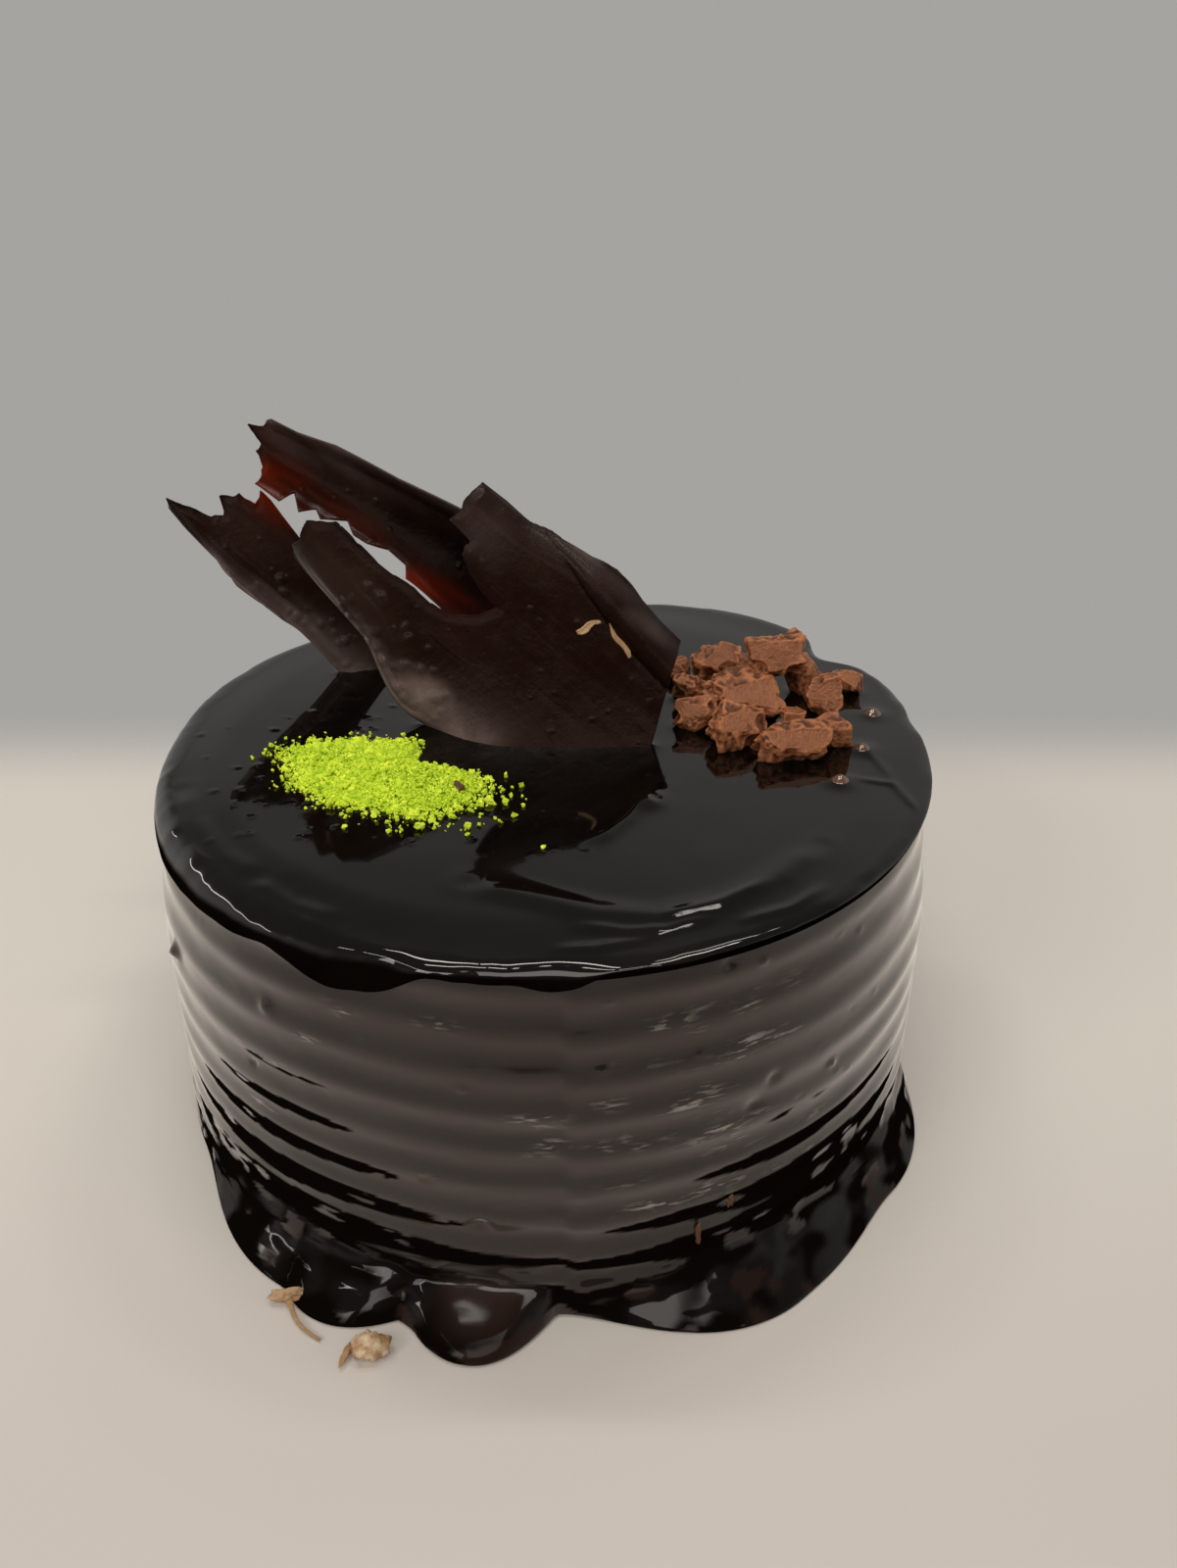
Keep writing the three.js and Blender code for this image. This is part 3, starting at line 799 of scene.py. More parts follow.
@dataclass(frozen=True)
class CakeForm:
    """Radii and heights that the side and the top share."""

    wall_radius: float = 94.0
    top_radius: float = 90.8
    taper_from: float = 54.0
    body_top: float = 86.4
    glaze_top: float = GLAZE_TOP
    swell_from: float = 58.0
    swells: tuple[Lobe, ...] = (Lobe(53, 30, 6.2), Lobe(34, 8, -5.0), Lobe(22, 16, 4.0))
    runs: tuple[Lobe, ...] = (
        Lobe(-152, 55, 7.6),
        Lobe(-114, 12, 6.2),
        Lobe(-107, 5, 1.2),
        Lobe(-99, 21, 2.0),
        Lobe(-86.5, 6.5, 2.6),
        Lobe(25, 16, 3.0),
        Lobe(80, 12, 4.0),
        Lobe(125, 18, 3.0),
    )
    lip_drop: float = 2.0
    lip_least: float = 1.6
    lip_ripple: float = 0.4
    lip_ragged: float = 0.45
    lip_thickness: float = 0.9
    lip_overhang: Lobe = Lobe(-95, 85, 1.2)
    overhang_wave: float = 0.25
    overhang_ragged: float = 0.375
    lip_clearance: float = 0.4
    rim_waves: float = 9.0
    rim_rounding: float = 4.2
    rim_soften: Lobe = Lobe(-160, 75, 2.0)
    shoulder_width: float = 16.0
    shoulder_drop: float = 0.4
    shoulder_left: Lobe = Lobe(-160, 75, 0.8)

    def bare_wall(self, angle: Array, z: Array) -> Array:
        """Radius without grooves: upright, then easing in to the rim, with the swells of the upper wall.

        Args:
            angle: Angles in radians.
            z: Heights.

        Returns:
            Radii.
        """
        ease = smoothstep(z, self.taper_from, self.body_top)
        swell = lobed(self.swells, angle) * smoothstep(z, self.swell_from, self.body_top)
        return self.wall_radius + (self.top_radius - self.wall_radius) * ease + swell

    def glaze_height(self, radius: Array, angle: Array) -> Array:
        """Height of the top: level, then falling over the shoulder, a little unevenly round the rim.

        Args:
            radius: Distances from the middle.
            angle: Angles in radians.

        Returns:
            Heights.
        """
        share = smoothstep(radius, self.top_radius - self.shoulder_width, self.top_radius)
        drop = self.shoulder_drop + self.shoulder_left.at(angle)
        return self.glaze_top - drop * share * (1.0 + 0.25 * ripple(angle, 0.4))

    def uneven(self, angle: Array, seed: int) -> Array:
        """Seamless noise round the cake, about ten millimetres to a wave."""
        return Grain(seed).layered(round_place(angle, self.rim_waves, 0.0), 3)

    def lip_bottom(self, angle: Array) -> Array:
        """Height of the lip's lower edge: an even drop, a ripple, ragged noise and the runs of glaze."""
        drop = self.lip_drop + self.lip_ripple * ripple(angle, 3.0) + self.lip_ragged * self.uneven(angle, 71)
        return self.glaze_top - np.maximum(drop, self.lip_least) - lobed(self.runs, angle)

    def lip_inside(self, angle: Array) -> Array:
        """Radius of the lip's inner face, just clear of the wall."""
        return self.bare_wall(angle, np.minimum(self.lip_bottom(angle), self.body_top)) + self.lip_clearance

    def lip_outside(self, angle: Array) -> Array:
        """Radius of the lip's outer face, which stands out most at the front, a little unevenly."""
        share = 1.0 + self.overhang_wave * ripple(angle, 2.2) + self.overhang_ragged * self.uneven(angle, 72)
        return self.lip_inside(angle) + self.lip_thickness + self.lip_overhang.at(angle) * share

    def rounding(self, angle: Array) -> Array:
        """Width of the rounded rim, softest at the left and uneven all round."""
        width = self.rim_rounding + self.rim_soften.at(angle)
        return width * (1.0 + 0.3 * self.uneven(angle, 73))


class Piece:
    """What every sub-assembly does with a finished mesh."""

    @staticmethod
    def hand_over(
        shape: Shape, name: str, finish: bpy.types.Material, slot: Slot, nodes: Sequence[str] = ()
    ) -> bpy.types.Object:
        """Makes the object, dresses it and ties it to the frame.

        Args:
            shape: The mesh.
            name: Name of the piece.
            finish: Its material.
            slot: Slot of the record; not used.
            nodes: Frame nodes that it stands for.

        Returns:
            The new object.
        """
        piece = shape.to_object(name)
        piece.data.materials.append(finish)
        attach(piece, BODY)
        if nodes:
            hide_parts(*nodes)
        count = 2 * len(shape.quads) + len(shape.triangles)
        LOG.info("%s: %d triangles, stands for %s", name, count, ", ".join(nodes) or "itself")
        return piece


@dataclass
class CombedSide(Piece):
    """The wall of the cake: comb grooves, the comb's join, pits, scuffs and the glaze pooled at the foot."""

    form: CakeForm
    columns: int = 560
    rows: int = 164
    pitch: float = 9.4
    depth: float = 0.55
    depth_change: NoiseLayer = NoiseLayer(0.35, (26.0, 26.0, 12.0), offset=1)
    comb_from: float = 4.0
    lowest: float = 9.3
    lean: float = 0.15
    wander: NoiseLayer = NoiseLayer(0.8, (34.0, 34.0, 60.0))
    broad: NoiseLayer = NoiseLayer(0.16, (24.0, 24.0, 13.0), 2, offset=2)
    smear: NoiseLayer = NoiseLayer(0.07, (11.0, 11.0, 4.0), 2, offset=8)
    join_angle: float = -86.0
    join_shift: float = 2.2
    join_step: Span = (-1.2, 1.2)
    join_width: float = 0.6
    join_height: float = 0.18
    join_span: Span = (20.0, 50.0)
    lumps: NoiseLayer = NoiseLayer(0.5, (9.0, 9.0, 6.0), 3, offset=4)
    lump_span: Span = (7.0, 20.0)
    lump_start: Span = (0.0, 4.0)
    folds: NoiseLayer = NoiseLayer(2.0, (15.0, 15.0, 3.4), 2, offset=7)
    fold_height: float = 0.3
    # heights of the black zone: deep glaze at the foot and a painted dark reflection above it
    wet_heights: tuple[Lobe, ...] = (
        Lobe(-50, 38, 25.0),
        Lobe(-126, 34, 28.0),
        Lobe(35, 40, 18.0),
        Lobe(95, 34, 14.0),
        Lobe(150, 40, 20.0),
    )
    wet_low: float = 9.0
    wet_comb: float = 10.0
    wet_edge: float = 0.5
    wedges: Lobe = Lobe(-125, 32, 8.0)
    ragged: NoiseLayer = NoiseLayer(4.0, (22.0, 22.0, 5.0), 3, offset=6)
    islands: NoiseLayer = NoiseLayer(1.0, (7.0, 7.0, 2.6), 2, offset=9)
    dry_patch: Lobe = Lobe(-97.0, 8.0, 1.0)
    dry_height: float = 6.5
    dry_spread: float = 4.5
    pool_gleam: float = 0.6
    patches: NoiseLayer = NoiseLayer(1.0, (8.0, 8.0, 5.0), 2, offset=10)
    foot_reach: float = 0.8
    foot_height: float = 5.0
    foot_rounding: float = 0.8
    pools: tuple[Pool, ...] = (
        Pool(-32, 26, 7.8, 12),
        Pool(-62, 26, 13.5, 11),
        Pool(-97.5, 10, 13.5, 8.5, True),
        Pool(-114, 9, 5, 9.5, True),
        Pool(-124, 28, 9.5, 12),
        Pool(38, 18, 6, 9),
        Pool(92, 13, 7, 8.5, True),
        Pool(148, 20, 5.5, 10),
    )
    pits: tuple[tuple[float, float, float, float], ...] = (
        (-65.2, 84.5, 1.3, -0.7),
        (-60.4, 82.6, 0.8, 0.5),
        (-126.5, 68.0, 1.5, 0.8),
        (-129.9, 50.8, 0.9, -0.5),
        (-98.6, 61.6, 0.9, 0.5),
        (-88.3, 47.1, 0.8, 0.5),
        (-97.1, 26.0, 1.5, -0.8),
        (-61.6, 48.3, 2.0, -0.7),
        (-58.8, 54.2, 1.6, -0.8),
        (-48.1, 49.0, 1.0, 0.7),
        (-81.8, 66.1, 0.9, 0.5),
        (-151.1, 60.5, 1.9, 2.0),
    )
    stray_pits: int = 90
    stray_spans: tuple[Span, ...] = ((-180, 180), (8, 82), (0.5, 0.9), (0.5, 0.9), (-0.25, 0.3))
    scuffs: int = 130
    scuff_ribs: tuple[int, int] = (2, 8)
    scuff_middle: float = -70.0
    scuff_spread: float = 8.0
    scuff_gathered: float = 0.6
    scuff_scatter: float = 1.4
    scuff_spans: tuple[Span, ...] = ((1.5, 4.5), (0.5, 1.3), (0.02, 0.06), (0.2, 1.0))
    seed: int = 4

    def pooled(self, angle: Array, z: Array) -> Array:
        """Reach of the foot: a small flare all round and the pools, round beads or tapering skirts.

        Args:
            angle: Angles in radians.
            z: Heights.

        Returns:
            How far the glaze stands out of the wall at each place.
        """
        reach = self.foot_reach * np.clip(1.0 - z / self.foot_height, 0, None) ** 1.5
        for pool in self.pools:
            up = np.clip(z / pool.height, 0.0, 1.0)
            hump = bell(angle, pool.angle, pool.spread)
            bead = hump**0.6 * (1.0 - up**2) ** 1.3
            skirt = hump * (1.0 - up) ** 1.7
            reach = reach + pool.reach * (bead if pool.plump else skirt)
        return reach

    def phase(self, angle: Array, z: Array, place: Array) -> Array:
        """Angle of the comb's wave, wandering a little round the cake and stepping at the join.

        Args:
            angle: Angles in radians.
            z: Heights.
            place: Points on the plain wall.

        Returns:
            Radians, a full turn for each rib.
        """
        turn = angle - np.radians(self.join_angle)
        away = np.degrees(np.arctan2(np.sin(turn), np.cos(turn)))
        step = self.join_shift * smoothstep(away, *self.join_step) * (1.0 - smoothstep(away, 20.0, 110.0))
        wander = 0.6 * ripple(angle, 1.1) + self.wander.at(place, self.seed)
        return 2 * np.pi * (z - self.lowest + wander + step) / self.pitch

    def relief(self, angle: Array, z: Array) -> tuple[Array, dict[str, Array]]:
        """Relief of the wall.

        The grooves are a slightly leaning cosine of the comb's phase. Broad unevenness, the ridge of
        the comb's join, lumps in the pooled foot, pits and scuffs are added.

        Args:
            angle: Angle of each point in radians.
            z: Height of each point.

        Returns:
            How far each point stands out, and its fields: under, from 0 on the upper side of a rib to 1
            on its underside, which paints a band of light; the field of the black zone, from 0 on the skin
            to 1 where it is black, deep glaze pooled at the foot and a painted dark reflection above it;
            and scuff, how strong the painted highlight on a scratch is there.
        """
        radius = self.form.wall_radius
        place = round_place(angle, radius, z)
        phase = self.phase(angle, z, place)
        groove = 0.5 - 0.5 * np.cos(phase + self.lean * np.sin(phase))
        strength = 0.85 + self.depth_change.at(place, self.seed)
        fade = smoothstep(z, self.comb_from, self.lowest)
        out = -self.depth * strength * groove * fade
        out += (self.broad.at(place, self.seed) + self.smear.at(place, self.seed)) * fade
        join = np.exp(-((np.degrees(angle) % 360 - self.join_angle % 360) / self.join_width) ** 2)
        out += self.join_height * join * smoothstep(z, *self.join_span)
        folds = 1.0 - np.abs(self.folds.at(place, self.seed))
        lump = self.lumps.at(place, self.seed) + self.fold_height * folds
        out += lump * (1.0 - smoothstep(z, *self.lump_span)) * smoothstep(z, *self.lump_start)
        scuff = np.zeros_like(out)
        for spot_angle, spot_z, wide, tall, height, pale in self.spots():
            arc = np.radians((np.degrees(angle) - spot_angle + 180.0) % 360.0 - 180.0) * radius
            spot = np.exp(-((arc / wide) ** 2) - ((z - spot_z) / tall) ** 2)
            out += height * spot
            # pale: strength of the painted highlight on a scuff
            scuff += pale * spot
        wet = self.wet(angle, z, phase, place)
        # painted light: under makes the underside of each rib lighter
        under = 0.5 - 0.5 * np.sin(phase) * fade
        return out, {"under": under, "wet": wet, "scuff": np.clip(scuff, 0.0, 1.0)}

    def wet(self, angle: Array, z: Array, phase: Array, place: Array) -> Array:
        """Where the black zone covers the skin: deep glaze pooled at the foot and, above it, a painted dark
        reflection.

        It reaches up to a height that changes round the cake, further up the underside of each rib, by
        a sine of the comb's wave, and less far on top of it, most of all in long wedges at the left,
        with ragged ends along the comb, islands of dry skin and a dry patch at the front.

        Args:
            angle: Angle of each point in radians.
            z: Height of each point.
            phase: Angle of the comb's wave.
            place: Points on the plain wall.

        Returns:
            Values from 0 to 1.
        """
        height = self.wet_low + lobed(self.wet_heights, angle) + self.ragged.at(place, self.seed)
        comb = self.wet_comb + self.wedges.at(angle)
        level = height - comb * np.sin(phase) - z
        islands = smoothstep(self.islands.at(place, self.seed), 0.62, 0.74)
        dry = np.maximum(islands, self.dry_patch.at(angle) * bump(z, self.dry_height, self.dry_spread))
        wet = smoothstep(level, -self.wet_edge, self.wet_edge)
        return wet * (1.0 - np.clip(1.6 * dry, 0.0, 1.0))

    def spots(self) -> list[tuple[float, ...]]:
        """Pits seen in front, small ones scattered all round, and scuffs along the comb.

        Returns:
            Angle, height, half width, half height, relief and paleness of each spot, the paleness being the
            strength of a painted highlight on a scuff.
        """
        draw = np.random.default_rng(self.seed)
        seen = [(pit_angle, pit_z, size, size, height, 0.0) for pit_angle, pit_z, size, height in self.pits]
        stray = [draw.uniform(*span, self.stray_pits) for span in self.stray_spans]
        stray.append(np.zeros(self.stray_pits))
        ridge = self.lowest + self.pitch * draw.integers(*self.scuff_ribs, self.scuffs)
        gathered = draw.normal(self.scuff_middle, self.scuff_spread, self.scuffs)
        strewn = draw.uniform(-180, 180, self.scuffs)
        scuff = [np.where(draw.random(self.scuffs) < self.scuff_gathered, gathered, strewn)]
        scuff.append(ridge + draw.normal(0.0, self.scuff_scatter, self.scuffs))
        scuff += [draw.uniform(*span, self.scuffs) for span in self.scuff_spans]
        scuff[-1] **= 2
        return seen + list(zip(*stray)) + list(zip(*scuff))

    def build(self) -> None:
        """Makes the wall as rings from the underside up to the top of the body, hidden by the glaze."""
        turn = np.linspace(0.0, 2 * np.pi, self.columns, endpoint=False)
        curl = np.radians(np.linspace(0.0, 80.0, 5))
        foot = self.foot_rounding * (1.0 - np.cos(curl))
        wall = np.linspace(self.foot_rounding, self.form.body_top, self.rows)
        angle, z = np.broadcast_arrays(turn[None, :], np.concatenate([foot, wall])[:, None])
        tuck = self.foot_rounding * (1.0 - np.sqrt(np.clip(1 - (1 - z / self.foot_rounding) ** 2, 0, 1)))
        tuck = np.where(z < self.foot_rounding, tuck, 0.0)
        out, fields = self.relief(angle, z)
        pooled = self.pooled(angle, z)
        rings = round_place(angle, self.form.bare_wall(angle, z) + pooled + out - tuck, z)
        patchy = smoothstep(self.patches.at(rings, self.seed), -0.25, 0.35)
        # painted dark reflection: in the black zone only the upward faces of the pools keep a coat
        fields["gleam"] = self.pool_gleam * smoothstep(facing_up(rings), 0.28, 0.42) * patchy
        fields["skin"] = 1.0 - 0.8 * smoothstep(pooled, 1.0, 4.0)
        shape = ring_solid(rings, (0, 0, 0), (0, 0, self.form.body_top))
        for key, values in fields.items():
            shape.fields[key] = np.concatenate([[0.0], values.reshape(-1), [0.0]])
        self.hand_over(shape, "combed_side", CombedGlaze().material(), Slot.SIDE, ["cake_body"])


@dataclass(frozen=True)
class Ridge:
    """A low fold in the poured top: the line that it follows, its height and its width."""

    line: tuple[Place, ...]
    height: float
    width: float
    run_out: float = 8.0


@dataclass(frozen=True)
class Mound:
    """A round rise or dip in the poured top."""

    at: Place
    width: float
    height: float


@dataclass(frozen=True)
class GlazeDrop:
    """A dome of glaze standing on the top."""

    at: Place
    radius: float
    rise: float = 0.6


@dataclass
class PouredTop(Piece):
    """The glaze over the top: a wavy mirror with folds, a rounded rim, a lip and three drops."""

    form: CakeForm
    shard_feet: list[Array]
    chunk_feet: list[tuple[Place, Place, float]]
    columns: int = 640
    flat_rows: int = 106
    rim_rows: int = 22
    lip_rows: int = 8
    lip_edge: float = 0.6
    gap: float = 0.3
    waves: NoiseLayer = NoiseLayer(0.11, 36.0, 2)
    dimples: NoiseLayer = NoiseLayer(0.022, 9.0, offset=1)
    wobble: NoiseLayer = NoiseLayer(0.12, 11.0, offset=2)
    ridges: tuple[Ridge, ...] = (
        Ridge(((-14, -64), (-3, -68), (12, -74), (24, -75.5), (38, -70.5), (50, -61), (60, -49)), 0.5, 3.2),
        Ridge(((6, -78.2), (18, -80.3), (26, -79.5), (37, -74.6)), 0.40, 1.3),
        Ridge(((2, -86), (12, -85.5), (20, -83), (24, -80.5), (20, -78.8)), 0.34, 1.3),
        Ridge(((22, -77.0), (36, -71.5), (49, -62)), 0.40, 1.3),
        Ridge(((38, -78.0), (51, -72), (60, -63)), 0.42, 1.3),
        Ridge(((69, -20), (80.3, -22.8), (84.5, -38)), 0.32, 1.2),
        Ridge(((76.5, -4), (80, -18), (80.8, -27)), 0.26, 1.2),
        Ridge(((-82, -24), (-76, -38), (-66, -52), (-56, -62)), 0.4, 3.0),
        Ridge(((-60, -60), (-48, -71), (-36, -77)), 0.35, 2.2),
        Ridge(((10, -51), (19, -38.6), (22, -33), (28, -25)), 0.42, 2.4),
        Ridge(((-88, -10), (-86, -24), (-80, -39)), 0.3, 1.3),
        Ridge(((-76, -45), (-66, -59)), 0.3, 1.3),
        Ridge(((-59, -66), (-49, -74), (-38, -80)), 0.3, 1.3),
    )
    mounds: tuple[Mound, ...] = (Mound((24.0, -31.0), 3.4, 0.55), Mound((25.5, -30.0), 1.4, -0.35))
    shard_creep: float = 0.45
    shard_reach: float = 1.6
    chunk_creep: float = 0.7
    chunk_reach: float = 0.9
    drops: tuple[GlazeDrop, ...] = (
        GlazeDrop((82.0, 12.9), 2.2),
        GlazeDrop((76.0, -6.4), 1.9),
        GlazeDrop((68.2, -21.9), 2.1),
    )
    drop_skirt: float = 3.6
    drop_swell: float = 0.55
    drop_sides: int = 40
    drop_rows: int = 18
    drop_inner: Span = (0.98, 0.06)
    drop_sink: float = 0.15
    drop_depth: float = 0.6
    amber: MirrorGlaze = MirrorGlaze("amber_drop", (0.080, 0.034, 0.016), (0.120, 0.052, 0.026), 0.12, 2.0)
    crumb_centre: Place = (-37.5, -19.5)
    specks: int = 150
    speck_spread: Place = (24.0, 17.0)
    speck_sizes: Span = (0.45, 0.8)
    speck_rise: float = 0.3
    skin_left: Lobe = Lobe(-168, 45, 0.22)
    seed: int = 31

    def dust(self) -> list[Mound]:
        """Specks under the glaze, round about the crumb.

        Returns:
            A small mound for each speck.
        """
        draw = np.random.default_rng(self.seed)
        spots = draw.normal(0, 1, (self.specks, 2)) * self.speck_spread + self.crumb_centre
        sizes = draw.uniform(*self.speck_sizes, self.specks)
        return [Mound(tuple(spot), size, self.speck_rise * size) for spot, size in zip(spots, sizes)]

    def relief(self, x: Array, y: Array) -> Array:
        """Relief of the top.

        Broad waves, folds of a bell section along their lines, round mounds and specks of dust, and
        glaze drawn up the shards and chunks by a falling exponential of the distance.

        Args:
            x: Places across.
            y: Places away.

        Returns:
            How far each place stands above the level top.
        """
        place = flat_place(x.reshape(-1), y.reshape(-1))
        flat = place[:, :2]
        up = self.waves.at(place, self.seed) + self.dimples.at(place, self.seed)
        wobble = self.wobble.at(place, self.seed)
        for ridge in self.ridges:
            away = line_distance(flat, np.array(ridge.line)) / (ridge.width * (1.0 + wobble))
            ends = [np.hypot(*(flat - np.array(end)).T) for end in (ridge.line[0], ridge.line[-1])]
            height = ridge.height * (0.9 + wobble)
            up += height * smoothstep(np.minimum(*ends), 0.0, ridge.run_out) * np.exp(-(away**2))
        skirts = [Mound(drop.at, self.drop_skirt, self.drop_swell) for drop in self.drops]
        for mound in [*self.mounds, *skirts, *self.dust()]:
            up += mound.height * np.exp(-((flat - np.array(mound.at)) ** 2).sum(1) / mound.width**2)
        for foot in self.shard_feet:
            up += self.shard_creep * np.exp(-line_distance(flat, foot[:, :2]) / self.shard_reach)
        for centre, half, turn in self.chunk_feet:
            own = turned(place - (*centre, 0.0), -turn)[:, :2] / half
            away = (np.sqrt((own**2).sum(1)) - 0.85) * min(half)
            up += self.chunk_creep * np.exp(-np.clip(away, 0, None) / self.chunk_reach)
        return up.reshape(x.shape)

    def rim(self, angle: Array) -> list[tuple[Array, Array]]:
        """The lip and the rim: round the lip's lower edge, then a quarter oval up to the crest.

        Args:
            angle: Angles in radians.

        Returns:
            Radius and height of each ring.
        """
        form = self.form
        inside = form.lip_inside(angle)
        outside = form.lip_outside(angle)
        low = form.lip_bottom(angle) + self.lip_edge
        middle = (inside + outside) / 2
        rings = []
        for turn in np.linspace(np.pi, 0.0, self.lip_rows):
            rings.append((middle + (outside - middle) * np.cos(turn), low - self.lip_edge * np.sin(turn)))
        width = form.rounding(angle)
        crest = form.glaze_height(outside - width, angle)
        for turn in np.linspace(0.0, np.pi / 2, self.rim_rows + 1)[1:]:
            rings.append((outside - width * (1.0 - np.cos(turn)), low + (crest - low) * np.sin(turn)))
        return rings

    def build(self) -> None:
        """Makes the cap as rings: flat underneath, round the lip, over the rim and in to the middle."""
        form = self.form
        angle = np.linspace(0.0, 2 * np.pi, self.columns, endpoint=False)
        under = form.body_top + self.gap
        outline = [(form.lip_inside(angle), np.full_like(angle, under))] + self.rim(angle)
        crest = outline[-1][0]
        shares = 1.0 - np.linspace(0.0, 1.0, self.flat_rows + 1)[1:-1] ** 1.08
        outline += [(crest * share, form.glaze_height(crest * share, angle)) for share in shares]
        radius, z = np.array(outline).transpose(1, 0, 2)
        level = np.ones(len(outline))
        lip_end = 1 + self.lip_rows
        level[:lip_end] = 0.0
        level[lip_end:lip_end + self.rim_rows] = np.linspace(0.0, 1.0, self.rim_rows) ** 1.5
        rings = round_place(angle, radius, z)
        rings[..., 2] += level[:, None] * self.relief(rings[..., 0], rings[..., 1])
        middle = np.zeros((1, 1))
        high = form.glaze_top + float(self.relief(middle, middle)[0, 0])
        shape = ring_solid(rings, (0, 0, under), (0, 0, high))
        # painted dark reflection: no coat where the rim and lip face down, a little more coat at the left
        skin = smoothstep(facing_up(rings) + self.skin_left.at(angle), 0.40, 0.62)
        shape.fields["skin"] = np.concatenate([[0.0], skin.reshape(-1), [1.0]])
        self.hand_over(shape, "poured_top", MirrorGlaze().material(), Slot.TOP, ["top_glaze"])
        drops = Shape.joined([self.drop(item) for item in self.drops])
        drops.fields["skin"] = np.ones(len(drops.points))
        self.hand_over(drops, "glaze_drops", self.amber.material(), Slot.TOP, ["top_glaze"])

    def drop(self, item: GlazeDrop) -> Shape:
        """A dome with a section near a cosine, on top of its mound and closed underneath.

        Args:
            item: Its place and sizes.

        Returns:
            A closed shape.
        """
        angle = np.linspace(0.0, 2 * np.pi, self.drop_sides, endpoint=False)
        x, y = item.at
        level = float(self.form.glaze_height(np.hypot(x, y), np.arctan2(y, x))) - self.drop_sink
        level += float(self.relief(np.array([x]), np.array([y]))[0])
        outer, inner = self.drop_inner
        shares = np.concatenate([[outer], np.linspace(1.0, inner, self.drop_rows)])
        rise = item.radius * item.rise
        heights = rise * np.cos(0.5 * np.pi * shares) ** 1.1
        heights[:2] = -self.drop_depth, -self.drop_sink
        rings = round_place(angle, item.radius * shares[:, None], level + heights[:, None]) + (x, y, 0.0)
        return ring_solid(rings, (x, y, level - self.drop_depth), (x, y, level + rise))


# Shards of the broken chocolate roll


@dataclass(frozen=True)
class Border:
    """Edge of a shard: t at s = 0, its slope, a swell about an s, and broken teeth as (s, offset)."""

    t: float
    slope: float
    swell: float = 0.0
    about: float = 0.0
    spread: float = 1.0
    teeth: tuple[Place, ...] = ()
    tooth_power: int = 8

    def at(self, s: Array) -> Array:
        """t of the plain border at each s."""
        return self.t + self.slope * s + self.swell * bump(s, self.about, self.spread)

    def part(self, s: Array, share: Array) -> Array:
        """What the border adds to a t that is a share of the way to it, with its teeth close by alone."""
        tooth = np.interp(s, *np.array(self.teeth).T) if self.teeth else 0.0
        return self.at(s) * share + tooth * share**self.tooth_power


@dataclass(frozen=True)
class FaceSpot:
    """A soft oval place on a shard: its middle and half sizes in s and t, and its strength."""

    s: float
    t: float
    along: float
    across: float
    strength: float

    def at(self, s: Array, t: Array) -> Array:
        """Strength at each place, fading out to the edge of the oval."""
        away = np.hypot((s - self.s) / self.along, (t - self.t) / self.across)
        return self.strength * bump(away, 0.0, 1.0)


@dataclass(frozen=True)
class EdgePaintedSheen:
    """Painted sheen along an edge of a shard: its strength, its ends in s and its widths at them."""

    strength: float = 0.0
    low: float = 0.0
    high: float = 1.0
    low_width: float = 1.0
    high_width: float = 1.0
    fade: float = 10.0

    def at(self, s: Array, inset: Array) -> Array:
        """Painted sheen at each s and distance in from the edge: a bell across it, fading past both ends."""
        width = self.low_width + (self.high_width - self.low_width) * smoothstep(s, self.low, self.high)
        return self.strength * within(s, self.low, self.high, self.fade) * np.exp(-((inset / width) ** 2))


@dataclass(frozen=True)
class Rib:
    """A raised line up a shard: its distance from the left edge, its ends in s, its height and width."""

    inset: float
    low: float
    high: float
    height: float
    width: float
    fade: float = 8.0

    def at(self, s: Array, inset: Array) -> Array:
        """Height at each s and distance in from the left edge: a bell that runs out at both ends."""
        span = within(s, self.low + self.fade, self.high - self.fade, self.fade)
        return self.height * span * np.exp(-(((inset - self.inset) / self.width) ** 2))


